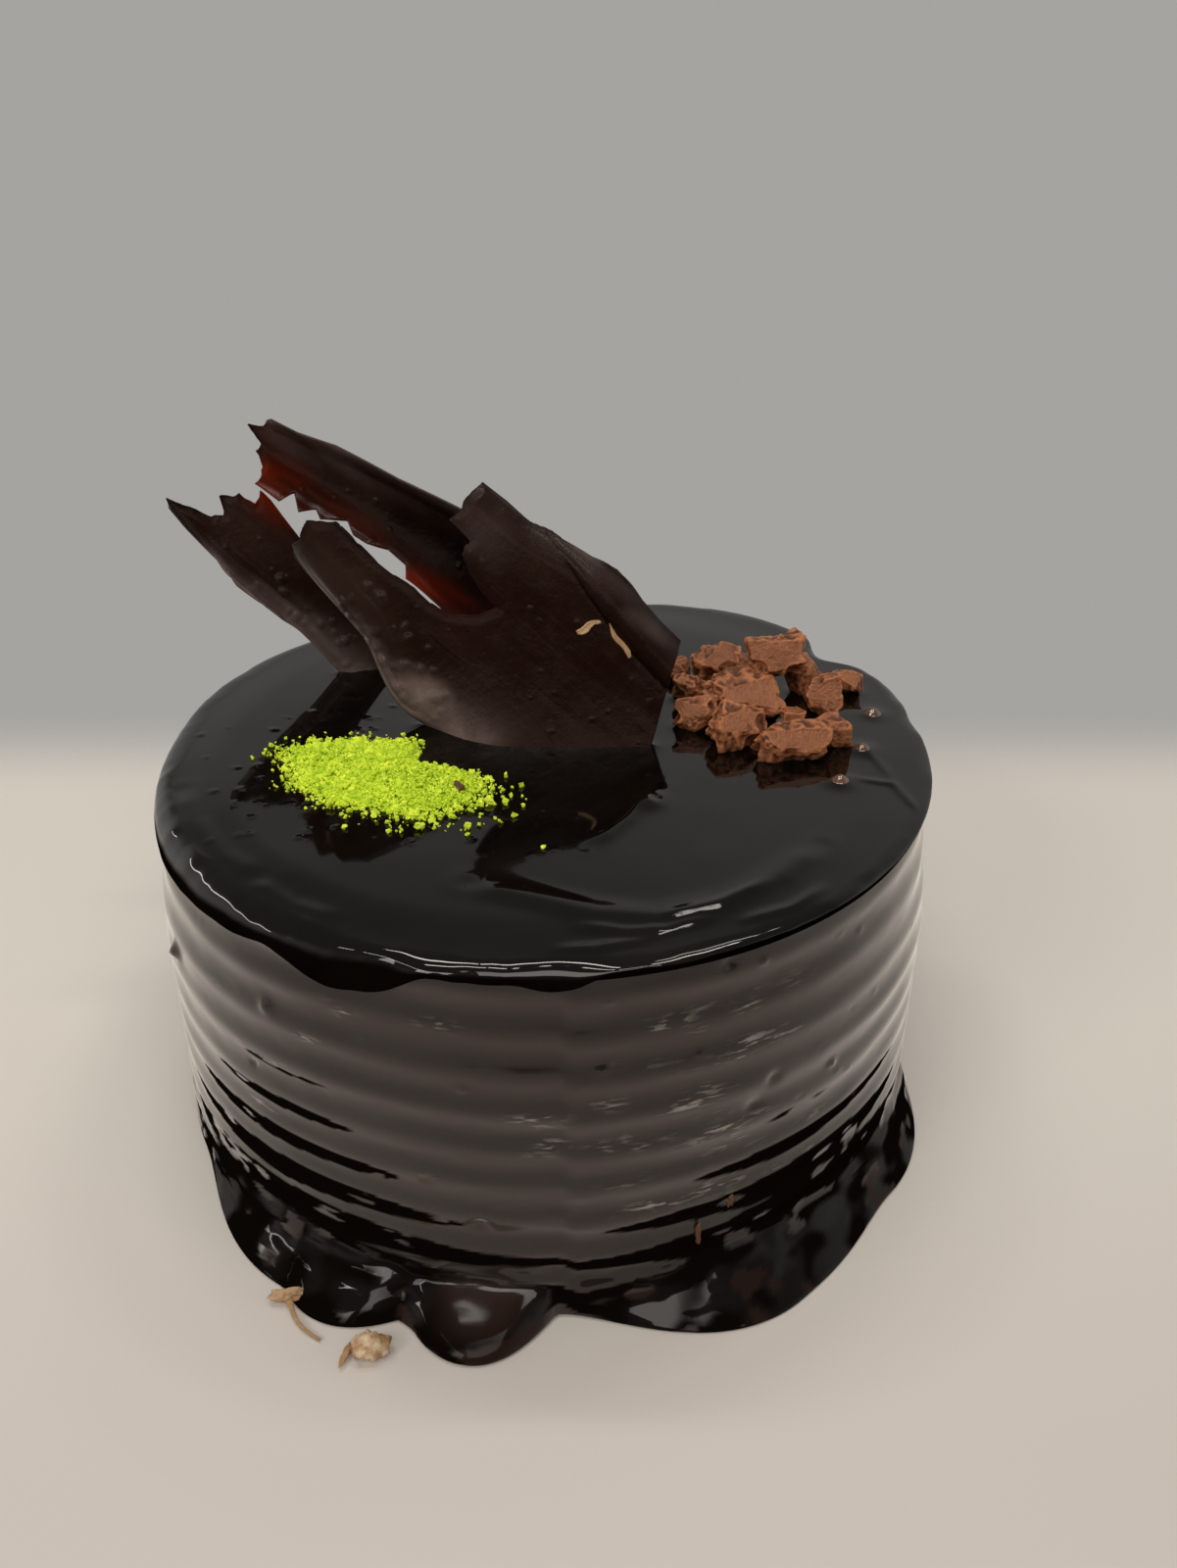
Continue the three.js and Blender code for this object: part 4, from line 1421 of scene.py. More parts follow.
@dataclass
class RollShard(Piece):
    """One shard: a sheet of lines up the roll, s from its foot and t across, bowed and curled."""

    name: str
    node: str
    foot: Point
    along: Point
    face: Point
    left: Border
    right: Border
    bow: float
    tuck: float
    hem_share: float
    hem_back: float
    heel: Point
    end: tuple[Place, ...]
    columns: int
    rows: int
    seed: int
    glows: tuple[FaceSpot, ...] = ()
    # spots of bloom and painted sheen
    bloom_and_painted_sheen_spots: tuple[FaceSpot, ...] = ()
    # spots and edge bands of painted sheen
    painted_sheens: tuple[FaceSpot, ...] = ()
    shades: tuple[FaceSpot, ...] = ()
    left_painted_sheen: EdgePaintedSheen = EdgePaintedSheen()
    right_painted_sheen: EdgePaintedSheen = EdgePaintedSheen()
    crease: tuple[Place, ...] = ()
    ribs: tuple[Rib, ...] = ()
    skew: float = 0.5
    flare: float = 0.0
    flare_height: float = 16.0
    foot_points: int = 40
    foot_margin: float = 0.5
    sink: float = 1.8
    jags: NoiseLayer = NoiseLayer(0.55, 2.4, 3, 0.6)
    flutes: NoiseLayer = NoiseLayer(0.16, (30.0, 4.0, 1.0), 2, offset=1)
    billows: NoiseLayer = NoiseLayer(0.22, (13.0, 9.0, 1.0), 2, offset=2)
    rib_wander: NoiseLayer = NoiseLayer(0.5, (9.0, 60.0, 1.0), offset=7)
    fold_rise: float = 0.26
    groove_depth: float = 0.55
    groove_width: float = 0.9
    groove_span: Span = (2.0, 6.0)
    beads: int = 120
    bead_reach: Span = (-40.0, 60.0)
    bead_margin: float = 6.0
    bead_least: float = 0.28
    bead_growth: float = 0.5
    bead_rise: float = 0.52
    blisters: int = 0
    blister_reach: Span = (0.0, 40.0)
    blister_inset: float = 1.5
    blister_spread: float = 7.0
    blister_sizes: Span = (0.5, 1.2)
    limb_shine: float = 0.4
    hem_shine: float = 0.3
    bead_shine: float = 0.08
    streaks: NoiseLayer = NoiseLayer(0.35, (16.0, 3.0, 1.0), 2, offset=5)
    glow_depth: float = 3.0
    thickness: float = 1.6
    edge_share: float = 0.4
    edge_width: float = 2.6
    edge_shade: float = 0.8
    shade_width: float = 0.9
    glaze_top: float = GLAZE_TOP

    def axes(self) -> tuple[Array, Array, Array]:
        """Directions of the shard, square to each other.

        Returns:
            Unit vectors up the roll, across it and out of its face.
        """
        face = np.array(self.face) / np.linalg.norm(self.face)
        along = np.array(self.along) - np.dot(self.along, face) * face
        along /= np.linalg.norm(along)
        return along, np.cross(along, face), face

    def depth(self, share: Array) -> Array:
        """How far the sheet stands out: a bow, a turned-back left edge and a hem along the right one.

        Args:
            share: Shares of the width.

        Returns:
            Distances.
        """
        bow = self.bow * np.sin(np.pi * np.sign(share) * np.abs(share) ** self.skew)
        tuck = self.tuck * np.clip(1.0 - share / 0.2, 0.0, None) ** 2
        return bow - tuck - self.hem_back * smoothstep(share, self.hem_share, 1.0)

    def across_at(self, share: Array, s: Array) -> Array:
        """t at a share of the width from the left edge."""
        return self.left.part(s, 1.0 - share) + self.right.part(s, share)

    def share_at(self, s: Array, t: Array) -> Array:
        """Share of the plain width at each place."""
        left = self.left.at(s)
        return (t - left) / (self.right.at(s) - left)

    def point(self, share: Array, s: Array, lift: Array | float = 0.0) -> Array:
        """Place in the frame of a place on the sheet.

        Args:
            share: Shares of the width.
            s: Length up the roll.
            lift: How far the place is lifted off the sheet along its face.

        Returns:
            Points in the last axis.
        """
        along, across, face = self.axes()
        t = self.across_at(share, s)
        lift = np.asarray(lift) + self.depth(self.share_at(s, t))
        return np.array(self.foot) + s[..., None] * along + t[..., None] * across + lift[..., None] * face

    def flared(self, share: Array, s: Array) -> Array:
        """How far the foot turns out: a square of the height left to the flare, less to the right."""
        left = np.clip(1.0 - (self.point(share, s)[..., 2] - self.glaze_top) / self.flare_height, 0.0, 1.2)
        return self.flare * left**2 * (1.0 - 0.75 * smoothstep(share, 0.25, 0.9))

    def start(self, share: Array, level: float) -> Array:
        """Lower end of each line: where it meets a level, by repeated steps, or the heel line.

        Args:
            share: Shares of the width.
            level: Height that the lines run down to.

        Returns:
            s of each end.
        """
        along = self.axes()[0]
        s = np.zeros_like(share)
        for _ in range(6):
            s = s + (level - self.point(share, s)[..., 2]) / along[2]
        heel_s, heel_t, slope = self.heel
        t = self.left.t + share * (self.right.t - self.left.t)
        return np.maximum(s, heel_s + (t - heel_t) * slope)

    def foot_line(self) -> Array:
        """Line where the shard comes out of the glaze.

        Returns:
            Points from left to right, those that stand on the top alone.
        """
        share = np.linspace(0.0, 1.0, self.foot_points)
        s = self.start(share, self.glaze_top)
        standing = self.point(share, s)[:, 2] < self.glaze_top + self.foot_margin
        return self.point(share, s, self.flared(share, s))[standing]

    def broken_end(self) -> tuple[Array, Array]:
        """Columns walked by length along the broken end, with finer jags.

        Returns:
            Share of the width and upper end of each column.
        """
        corners = np.array(self.end)
        steps = np.diff(corners, axis=0) * (self.right.t - self.left.t, 1.0)
        length = np.concatenate([[0], np.cumsum(np.hypot(*steps.T))])
        walk = np.linspace(0.0, length[-1], self.columns)
        share, reach = (np.interp(walk, length, column) for column in corners.T)
        return share, reach + self.jags.at(flat_place(walk), self.seed)

    def beading(self, s: Array, t: Array) -> Array:
        """Small round beads from the moulding, and blisters gathered near the left edge.

        Args:
            s: Length up the roll.
            t: Place across it.

        Returns:
            Heights, sums of bells of the distances.
        """
        draw = np.random.default_rng(self.seed)
        along = draw.uniform(*self.bead_reach, self.beads)
        across = draw.uniform(self.left.t - self.bead_margin, self.right.t + self.bead_margin, self.beads)
        sizes = self.bead_least + self.bead_growth * draw.uniform(0.0, 1.0, self.beads) ** 3
        near = draw.uniform(*self.blister_reach, self.blisters)
        inset = self.blister_inset + np.abs(draw.normal(0.0, self.blister_spread, self.blisters))
        along = np.concatenate([along, near])
        across = np.concatenate([across, self.left.at(near) + inset])
        sizes = np.concatenate([sizes, draw.uniform(*self.blister_sizes, self.blisters)])
        height = np.zeros_like(s)
        for bead_s, bead_t, size in zip(along, across, sizes):
            height += self.bead_rise * size * np.exp(-((s - bead_s) ** 2 + (t - bead_t) ** 2) / size**2)
        return height

    def relief(self, s: Array, t: Array) -> Array:
        """Relief of the face.

        Flutes up the roll, beads and blisters, ribs of a bell section, and the folded hem, a half sine
        across its width with a groove beside it.

        Args:
            s: Length up the roll from the foot.
            t: Place across it.

        Returns:
            How far each point stands out of the bowed sheet.
        """
        place = flat_place(s, t)
        out = self.flutes.at(place, self.seed) + self.billows.at(place, self.seed) + self.beading(s, t)
        inset = t - self.left.at(s) + self.rib_wander.at(place, self.seed)
        for rib in self.ribs:
            out += rib.at(s, inset)
        if self.crease:
            fold = np.interp(s, *np.array(sorted(self.crease)).T)
            width = np.clip(self.right.at(s) - fold, 1.0, None)
            roll = np.sin(np.pi * np.clip((t - fold) / width, 0.0, 1.0))
            groove = np.exp(-(((t - fold) / self.groove_width) ** 2)) * smoothstep(width, *self.groove_span)
            out += self.fold_rise * width * roll**0.8 - self.groove_depth * groove
        return out

    @staticmethod
    def spotted(spots: Sequence[FaceSpot], s: Array, t: Array) -> Array:
        """The strongest of some oval spots at each place, or 0."""
        return np.max([np.zeros_like(s), *(spot.at(s, t) for spot in spots)], axis=0)

    def polish(self, share: Array, s: Array, t: Array) -> Array:
        """How much the face shines: along its left edge, its hem and on its beads."""
        return np.max([
            self.limb_shine * (1.0 - smoothstep(share, 0.02, 0.12)),
            self.hem_shine * smoothstep(share, 0.90, 0.97),
            self.bead_shine * smoothstep(self.beading(s, t), 0.03, 0.2),
        ], axis=0)

    def painted_sheen(self, s: Array, t: Array) -> Array:
        """Painted sheen: the strongest of the spots and of the bands along both edges."""
        edges = [self.left_painted_sheen.at(s, t - self.left.at(s)), self.right_painted_sheen.at(s, self.right.at(s) - t)]
        return np.max([self.spotted(self.painted_sheens, s, t), *edges], axis=0)

    def thin_places(self, s: Array, t: Array, edge: Array) -> Array:
        """How much light comes through: streaked oval spots, more towards the edges."""
        glow = self.spotted(self.glows, s, t) * (0.85 + self.streaks.at(flat_place(s, t), self.seed))
        return np.clip(glow * (0.75 + 0.5 * np.exp(-edge / self.glow_depth)), 0.0, 0.8)

    def build(self, finish: bpy.types.Material) -> None:
        """Makes the sheet, thinner at its broken edges, with the fields of its looks.

        Args:
            finish: Material that all shards share.
        """
        share, reach = self.broken_end()
        start = self.start(share, self.glaze_top - self.sink)
        rise = np.linspace(0.0, 1.0, self.rows)
        s = start[:, None] + (reach - start)[:, None] * rise
        share = np.broadcast_to(share[:, None], s.shape)
        t = self.across_at(share, s)
        corners = np.array(self.end)
        rim = np.stack([corners[:, 1], self.across_at(corners[:, 0], corners[:, 1])], -1)
        broken = line_distance(np.stack([s, t], -1).reshape(-1, 2), rim).reshape(s.shape)
        edge = np.min([broken, t - self.left.at(s), self.right.at(s) - t], axis=0)
        whole = self.edge_share + (1.0 - self.edge_share) * smoothstep(edge, 0.0, self.edge_width)
        lift = self.relief(s, t) + self.flared(share, s)
        shape = sheet_solid(self.point(share, s, lift), self.thickness * whole)
        shade = self.edge_shade * np.exp(-((broken / self.shade_width) ** 2))
        fields = {
            "thin": self.thin_places(s, t, edge),
            # bloom and painted sheen
            "bloom_and_painted_sheen": self.spotted(self.bloom_and_painted_sheen_spots, s, t),
            # painted sheen
            "sheen_layer_and_painted_sheen": self.painted_sheen(s, t),
            "polish": self.polish(share, s, t),
            "shade": np.maximum(shade, self.spotted(self.shades, s, t)),
            "along": s,
            "across": t,
        }
        for key, values in fields.items():
            shape.fields[key] = np.tile(values.reshape(-1), 2)
        self.hand_over(shape, self.name, finish, Slot.SHARD, [self.node])


def front_shard() -> RollShard:
    """The widest shard, cracked down its middle, with a folded hem along its right edge.

    Returns:
        The shard, not yet built.
    """
    teeth = ((-32, 0.0), (-29, 0.3), (-22, -0.4), (-16, -0.5), (-11, 0.2), (-6.5, 0.7), (0, -0.4), (8, -0.1))
    teeth += ((11.2, 0.7), (16.6, -0.1), (24, 0.3), (30, 0.1))
    corners = ((0, 55), (0.05, 56), (0.17, 55.6), (0.25, 56.6), (0.36, 51.5), (0.345, 46), (0.36, 38))
    corners += ((0.375, 33), (0.41, 27.5), (0.435, 22), (0.475, 17), (0.55, 11.5), (0.62, 9.5), (0.64, 14))
    corners += ((0.66, 18.4), (0.70, 23.8), (0.735, 24.8), (0.765, 24.4), (0.77, 27.5), (0.765, 31.2))
    corners += ((0.845, 31), (0.93, 31.2), (1, 31))
    return RollShard(
        name="roll_shard_front",
        node="shard_front",
        foot=(-24.2, 4.4, GLAZE_TOP),
        along=(-0.759, 0.249, 0.602),
        face=(-0.097, -0.957, 0.273),
        left=Border(-1.5, 0.15, -4.2, 14, 17, ((0, 0.0), (20, 0.3), (30, -0.3), (45, 0.4), (54, 0.0))),
        right=Border(52, -0.03, 3.6, -7, 26, teeth),
        bow=2.8,
        tuck=5.5,
        hem_share=0.88,
        hem_back=4.0,
        heel=(-40.1, 32.4, 0.55),
        end=corners,
        columns=250,
        rows=150,
        seed=11,
        glows=(FaceSpot(14, 23, 22, 9, 0.17), FaceSpot(10, 32, 14, 8, 0.16), FaceSpot(2, 22, 30, 18, 0.06)),
        crease=((26, 52.4), (11.3, 51.4), (0, 49.6), (-11.2, 46.7), (-22.7, 44.6), (-34, 43.6)),
        ribs=(Rib(1.6, 2, 54, 0.85, 0.7), Rib(4.0, 8, 52, 0.75, 0.8), Rib(9.0, 16, 40, 0.55, 0.8)),
        beads=130,
        blisters=40,
        flare=3.8,
        flare_height=20.0,
        # spots of bloom and painted sheen on the face
        bloom_and_painted_sheen_spots=(FaceSpot(42, 11, 24, 11, 0.95), FaceSpot(11, 22, 22, 12, 0.25), FaceSpot(8, 48, 30, 8, 0.2)),
        # painted sheen on the foot, the hem and beside the crack, and along the left edge
        painted_sheens=(
            FaceSpot(7, 2.5, 17, 9, 0.85),
            FaceSpot(3.5, 54.5, 10, 2.4, 0.46),
            FaceSpot(-6, 53.0, 12, 3.0, 0.12),
            FaceSpot(-20.8, 51, 10, 2.6, 0.2),
            FaceSpot(24.0, 42, 13, 8, 0.16),
        ),
        left_painted_sheen=EdgePaintedSheen(0.95, -10, 46, 9.0, 1.8),
        hem_shine=0.15,
        edge_shade=0.15,
    )


def back_shard() -> RollShard:
    """The longest shard, hollow towards the front, with a toothed lower edge that light comes through.

    Returns:
        The shard, not yet built.
    """
    teeth = ((50, 0.0), (62.8, -1.1), (65, 1.6), (70.9, 2.4), (76, 0.7), (80.1, 0.7), (83.7, 3.0))
    teeth += ((89.1, -0.5), (91.6, 1.0), (94.4, -1.9), (98.6, 1.6), (99.7, -2.2), (105.6, -1.8))
    upper = ((60, 0.0), (78, -0.5), (88, 0.2), (95, 0.6), (105, -0.4), (112, 0.0))
    return RollShard(
        name="roll_shard_back",
        node="shard_back",
        foot=(20.8, 29.1, GLAZE_TOP),
        along=(-0.816, 0.197, 0.543),
        face=(0.0, -0.94, 0.34),
        left=Border(-6.5, -0.04, -5.5, 34, 32, teeth),
        right=Border(21.5, -0.165, 1.3, 75, 45, upper),
        bow=-5.0,
        tuck=0.0,
        hem_share=0.84,
        hem_back=-4.0,
        heel=(-3.7, 0.0, 0.9),
        end=((0, 107), (0.2, 109), (0.35, 113), (0.5, 113.2), (0.72, 117.5), (0.82, 114), (1, 112.5)),
        columns=90,
        rows=360,
        seed=23,
        glows=(
            FaceSpot(54, -10, 26, 9, 0.52),
            FaceSpot(54, -10, 46, 17, 0.18),
            FaceSpot(84, -10, 34, 12, 0.34),
            FaceSpot(103, -10, 18, 15, 0.42),
            FaceSpot(112, 0, 9, 9, 0.14),
        ),
        # bloom and painted sheen on the upper face, which gets little light
        bloom_and_painted_sheen_spots=(FaceSpot(110, 0, 22, 6, 0.9), FaceSpot(90, 4, 22, 6, 0.7), FaceSpot(68, 8, 24, 6, 0.3)),
        # painted sheen on the upper face, which gets little light, and along the upper edge
        painted_sheens=(FaceSpot(108, 1.4, 14, 5, 0.2), FaceSpot(95, 5, 16, 4, 0.24), FaceSpot(80, 7, 14, 4, 0.06)),
        right_painted_sheen=EdgePaintedSheen(0.32, 40, 100, 1.3, 1.3),
        shades=(FaceSpot(54, 1, 30, 14, 1.0), FaceSpot(66, -0.5, 18, 9, 0.95)),
        beads=40,
        skew=1.0,
        thickness=1.1,
        edge_share=0.35,
        edge_width=2.0,
        bead_reach=(0.0, 118.0),
    )


def left_shard() -> RollShard:
    """The lowest shard at the left, curled back along its left edge.

    Returns:
        The shard, not yet built.
    """
    teeth = ((0, 0.0), (20, 0.4), (34, -0.5), (40, -0.8), (48, 0.5), (60, 0.0))
    corners = ((0, 65), (0.05, 67), (0.14, 62.5), (0.33, 56), (0.44, 54.5), (0.48, 55.5), (0.54, 57.6))
    corners += ((0.75, 55), (0.76, 52.7), (0.82, 50), (0.9, 50.4), (0.97, 51.5), (1, 48))
    return RollShard(
        name="roll_shard_left",
        node="shard_left",
        foot=(-48.0, 37.0, GLAZE_TOP),
        along=(-0.71, 0.05, 0.702),
        face=(0.42, -0.8, 0.42),
        left=Border(-4.4, 0.05, -2.0, 44, 26, teeth),
        right=Border(8.0, 0.19),
        bow=-2.5,
        tuck=3.0,
        hem_share=0.95,
        hem_back=0.0,
        heel=(-30.0, 0.0, 0.0),
        end=corners,
        columns=150,
        rows=170,
        seed=37,
        glows=(FaceSpot(48, 17, 15, 9, 0.45), FaceSpot(30, 15, 18, 8, 0.12)),
        # bloom and painted sheen on the face
        bloom_and_painted_sheen_spots=(FaceSpot(50, 8, 24, 10, 0.6),),
        # painted sheen along the left edge
        left_painted_sheen=EdgePaintedSheen(0.62, 0, 46, 7.5, 1.8),
        hem_shine=0.0,
        ribs=(Rib(2.6, 2, 56, 0.6, 0.9), Rib(5.4, 6, 50, 0.45, 0.9)),
        beads=50,
        blisters=18,
        bead_reach=(-10.0, 66.0),
    )


# Flakes and bits of nut


@dataclass(frozen=True)
class NutBit:
    """A rough bit: its place, full sizes, turn in degrees, tint, and an offset to the seed."""

    at: Point
    size: Point
    turn: float
    tint: float
    offset: int


@dataclass(frozen=True)
class PaleFlakes(Piece):
    """Tan flakes on the front shard and bits of nut caught in the glaze at the foot."""

    shard: RollShard
    strips: tuple[tuple[Place, Place, float], ...] = (
        ((-9.0, 39.6), (-11.5, 45.2), 2.1),
        ((-22.5, 43.4), (-13.5, 46.2), 1.5),
    )
    strip_rows: int = 26
    strip_lines: int = 9
    strip_wave: float = 0.35
    strip_gap: float = 0.1
    strip_thickness: float = 0.6
    strip_tint: float = 0.64
    stalk_rows: int = 40
    stalk_lines: int = 5
    stalk_start: Point = (-54.0, -91.6, 1.5)
    stalk_way: Point = (8.2, -9.4, -1.1)
    stalk_side: Place = (0.74, 0.67)
    stalk_bend: float = 1.3
    stalk_width: float = 1.5
    stalk_thickness: float = 0.5
    stalk_tint: float = 0.62
    bits: tuple[NutBit, ...] = (
        NutBit((-54.6, -90.4, 1.9), (7.4, 2.8, 3.2), 10.0, 0.68, 5),
        NutBit((-34.8, -104.2, 2.9), (7.4, 5.2, 5.6), 25.0, 0.85, 0),
        NutBit((-39.8, -104.6, 0.9), (1.5, 6.0, 1.3), -14.0, 0.6, 1),
        NutBit((34.0, -87.9, 17.5), (1.2, 1.4, 5.5), 20.0, 0.14, 2),
        NutBit((40.8, -84.3, 24.0), (1.4, 1.3, 4.0), 25.0, 0.14, 3),
        NutBit((-18.3, -28.0, 93.3), (3.8, 1.7, 1.6), -60.0, 0.15, 4),
    )
    bit_cuts: int = 10
    bit_cells: float = 1.7
    bit_roughness: float = 0.4
    seed: int = 61

    def strip(self, first: Place, last: Place, width: float) -> Shape:
        """A thin curved flake that follows the shard's face, narrowing towards its end.

        Args:
            first: Its wide end in s and t.
            last: Its narrow end.
            width: Its full width.

        Returns:
            A closed shape.
        """
        shard = self.shard
        length = np.linspace(0.0, 1.0, self.strip_rows)[None, :]
        side = np.linspace(-0.5, 0.5, self.strip_lines)[:, None]
        run = np.array(last) - np.array(first)
        way = run / np.linalg.norm(run)
        ends = np.clip(np.minimum(length, 1.0 - length) * 7.0, 0.15, 1.0) ** 0.6
        taper = width * (1.0 - 0.62 * length) * ends
        taper = taper * (1.0 + 0.22 * np.sin(9.0 * length + first[0]))
        aside = taper * side + self.strip_wave * np.sin(7.0 * length)
        s = first[0] + run[0] * length - way[1] * aside
        t = first[1] + run[1] * length + way[0] * aside
        share = shard.share_at(s, t)
        lift = shard.relief(s, t) + shard.flared(share, s)
        lift = lift + shard.thickness / 2 + self.strip_gap + 0.2 * np.abs(2 * side) ** 2
        shape = sheet_solid(shard.point(share, s, lift), np.full_like(s, self.strip_thickness))
        shape.fields["tint"] = np.full(len(shape.points), self.strip_tint)
        return shape

    def bit(self, item: NutBit) -> Shape:
        """A rough bit of nut: a ball stretched to its sizes and broken by noise.

        Args:
            item: Its place, sizes and tint.

        Returns:
            A closed shape.
        """
        seed = self.seed + item.offset
        ball = cube_ball(self.bit_cuts)
        rough = 1.0 + self.bit_roughness * Grain(seed).layered(ball.points * self.bit_cells + seed, 3)
        points = turned(ball.points * rough[:, None] * np.array(item.size) / 2, item.turn)
        tint = np.full(len(points), item.tint)
        return Shape(points + np.array(item.at), ball.quads, fields={"tint": tint})

    def stalk(self) -> Shape:
        """A thin stalk from the hull at the foot down to the floor: a bent strip that narrows to its end.

        Returns:
            A closed shape.
        """
        length = np.linspace(0.0, 1.0, self.stalk_rows)[None, :]
        side = np.linspace(-0.5, 0.5, self.stalk_lines)[:, None]
        width = (self.stalk_width - 1.05 * length**0.5) * side
        aside = width - self.stalk_bend * np.sin(np.pi * length)
        x = self.stalk_start[0] + self.stalk_way[0] * length + self.stalk_side[0] * aside
        y = self.stalk_start[1] + self.stalk_way[1] * length + self.stalk_side[1] * aside
        z = self.stalk_start[2] + self.stalk_way[2] * length**0.5
        grid = np.stack(np.broadcast_arrays(x, y, z), -1)
        shape = sheet_solid(grid, np.full(x.shape, self.stalk_thickness))
        shape.fields["tint"] = np.full(len(shape.points), self.stalk_tint)
        return shape

    def build(self) -> None:
        """Makes the flakes and bits as one piece."""
        shapes = [self.strip(*strip) for strip in self.strips]
        shapes.append(self.stalk())
        shapes += [self.bit(item) for item in self.bits]
        self.hand_over(Shape.joined(shapes), "pale_flakes", PaleBit().material(), Slot.PALE)


# Milk chocolate chunks


@dataclass(frozen=True)
class Chunk:
    """One broken piece: place, full sizes, turn in degrees, lift, cut face, horn and how dark it is: painted
    shade for chunks set deep in the pile, a darker tone for a few others.
    """

    at: Place
    size: Point
    turn: float
    lift: float = 0.0
    cut: Point | None = None
    horn: Point | None = None
    dark: float = 0.0


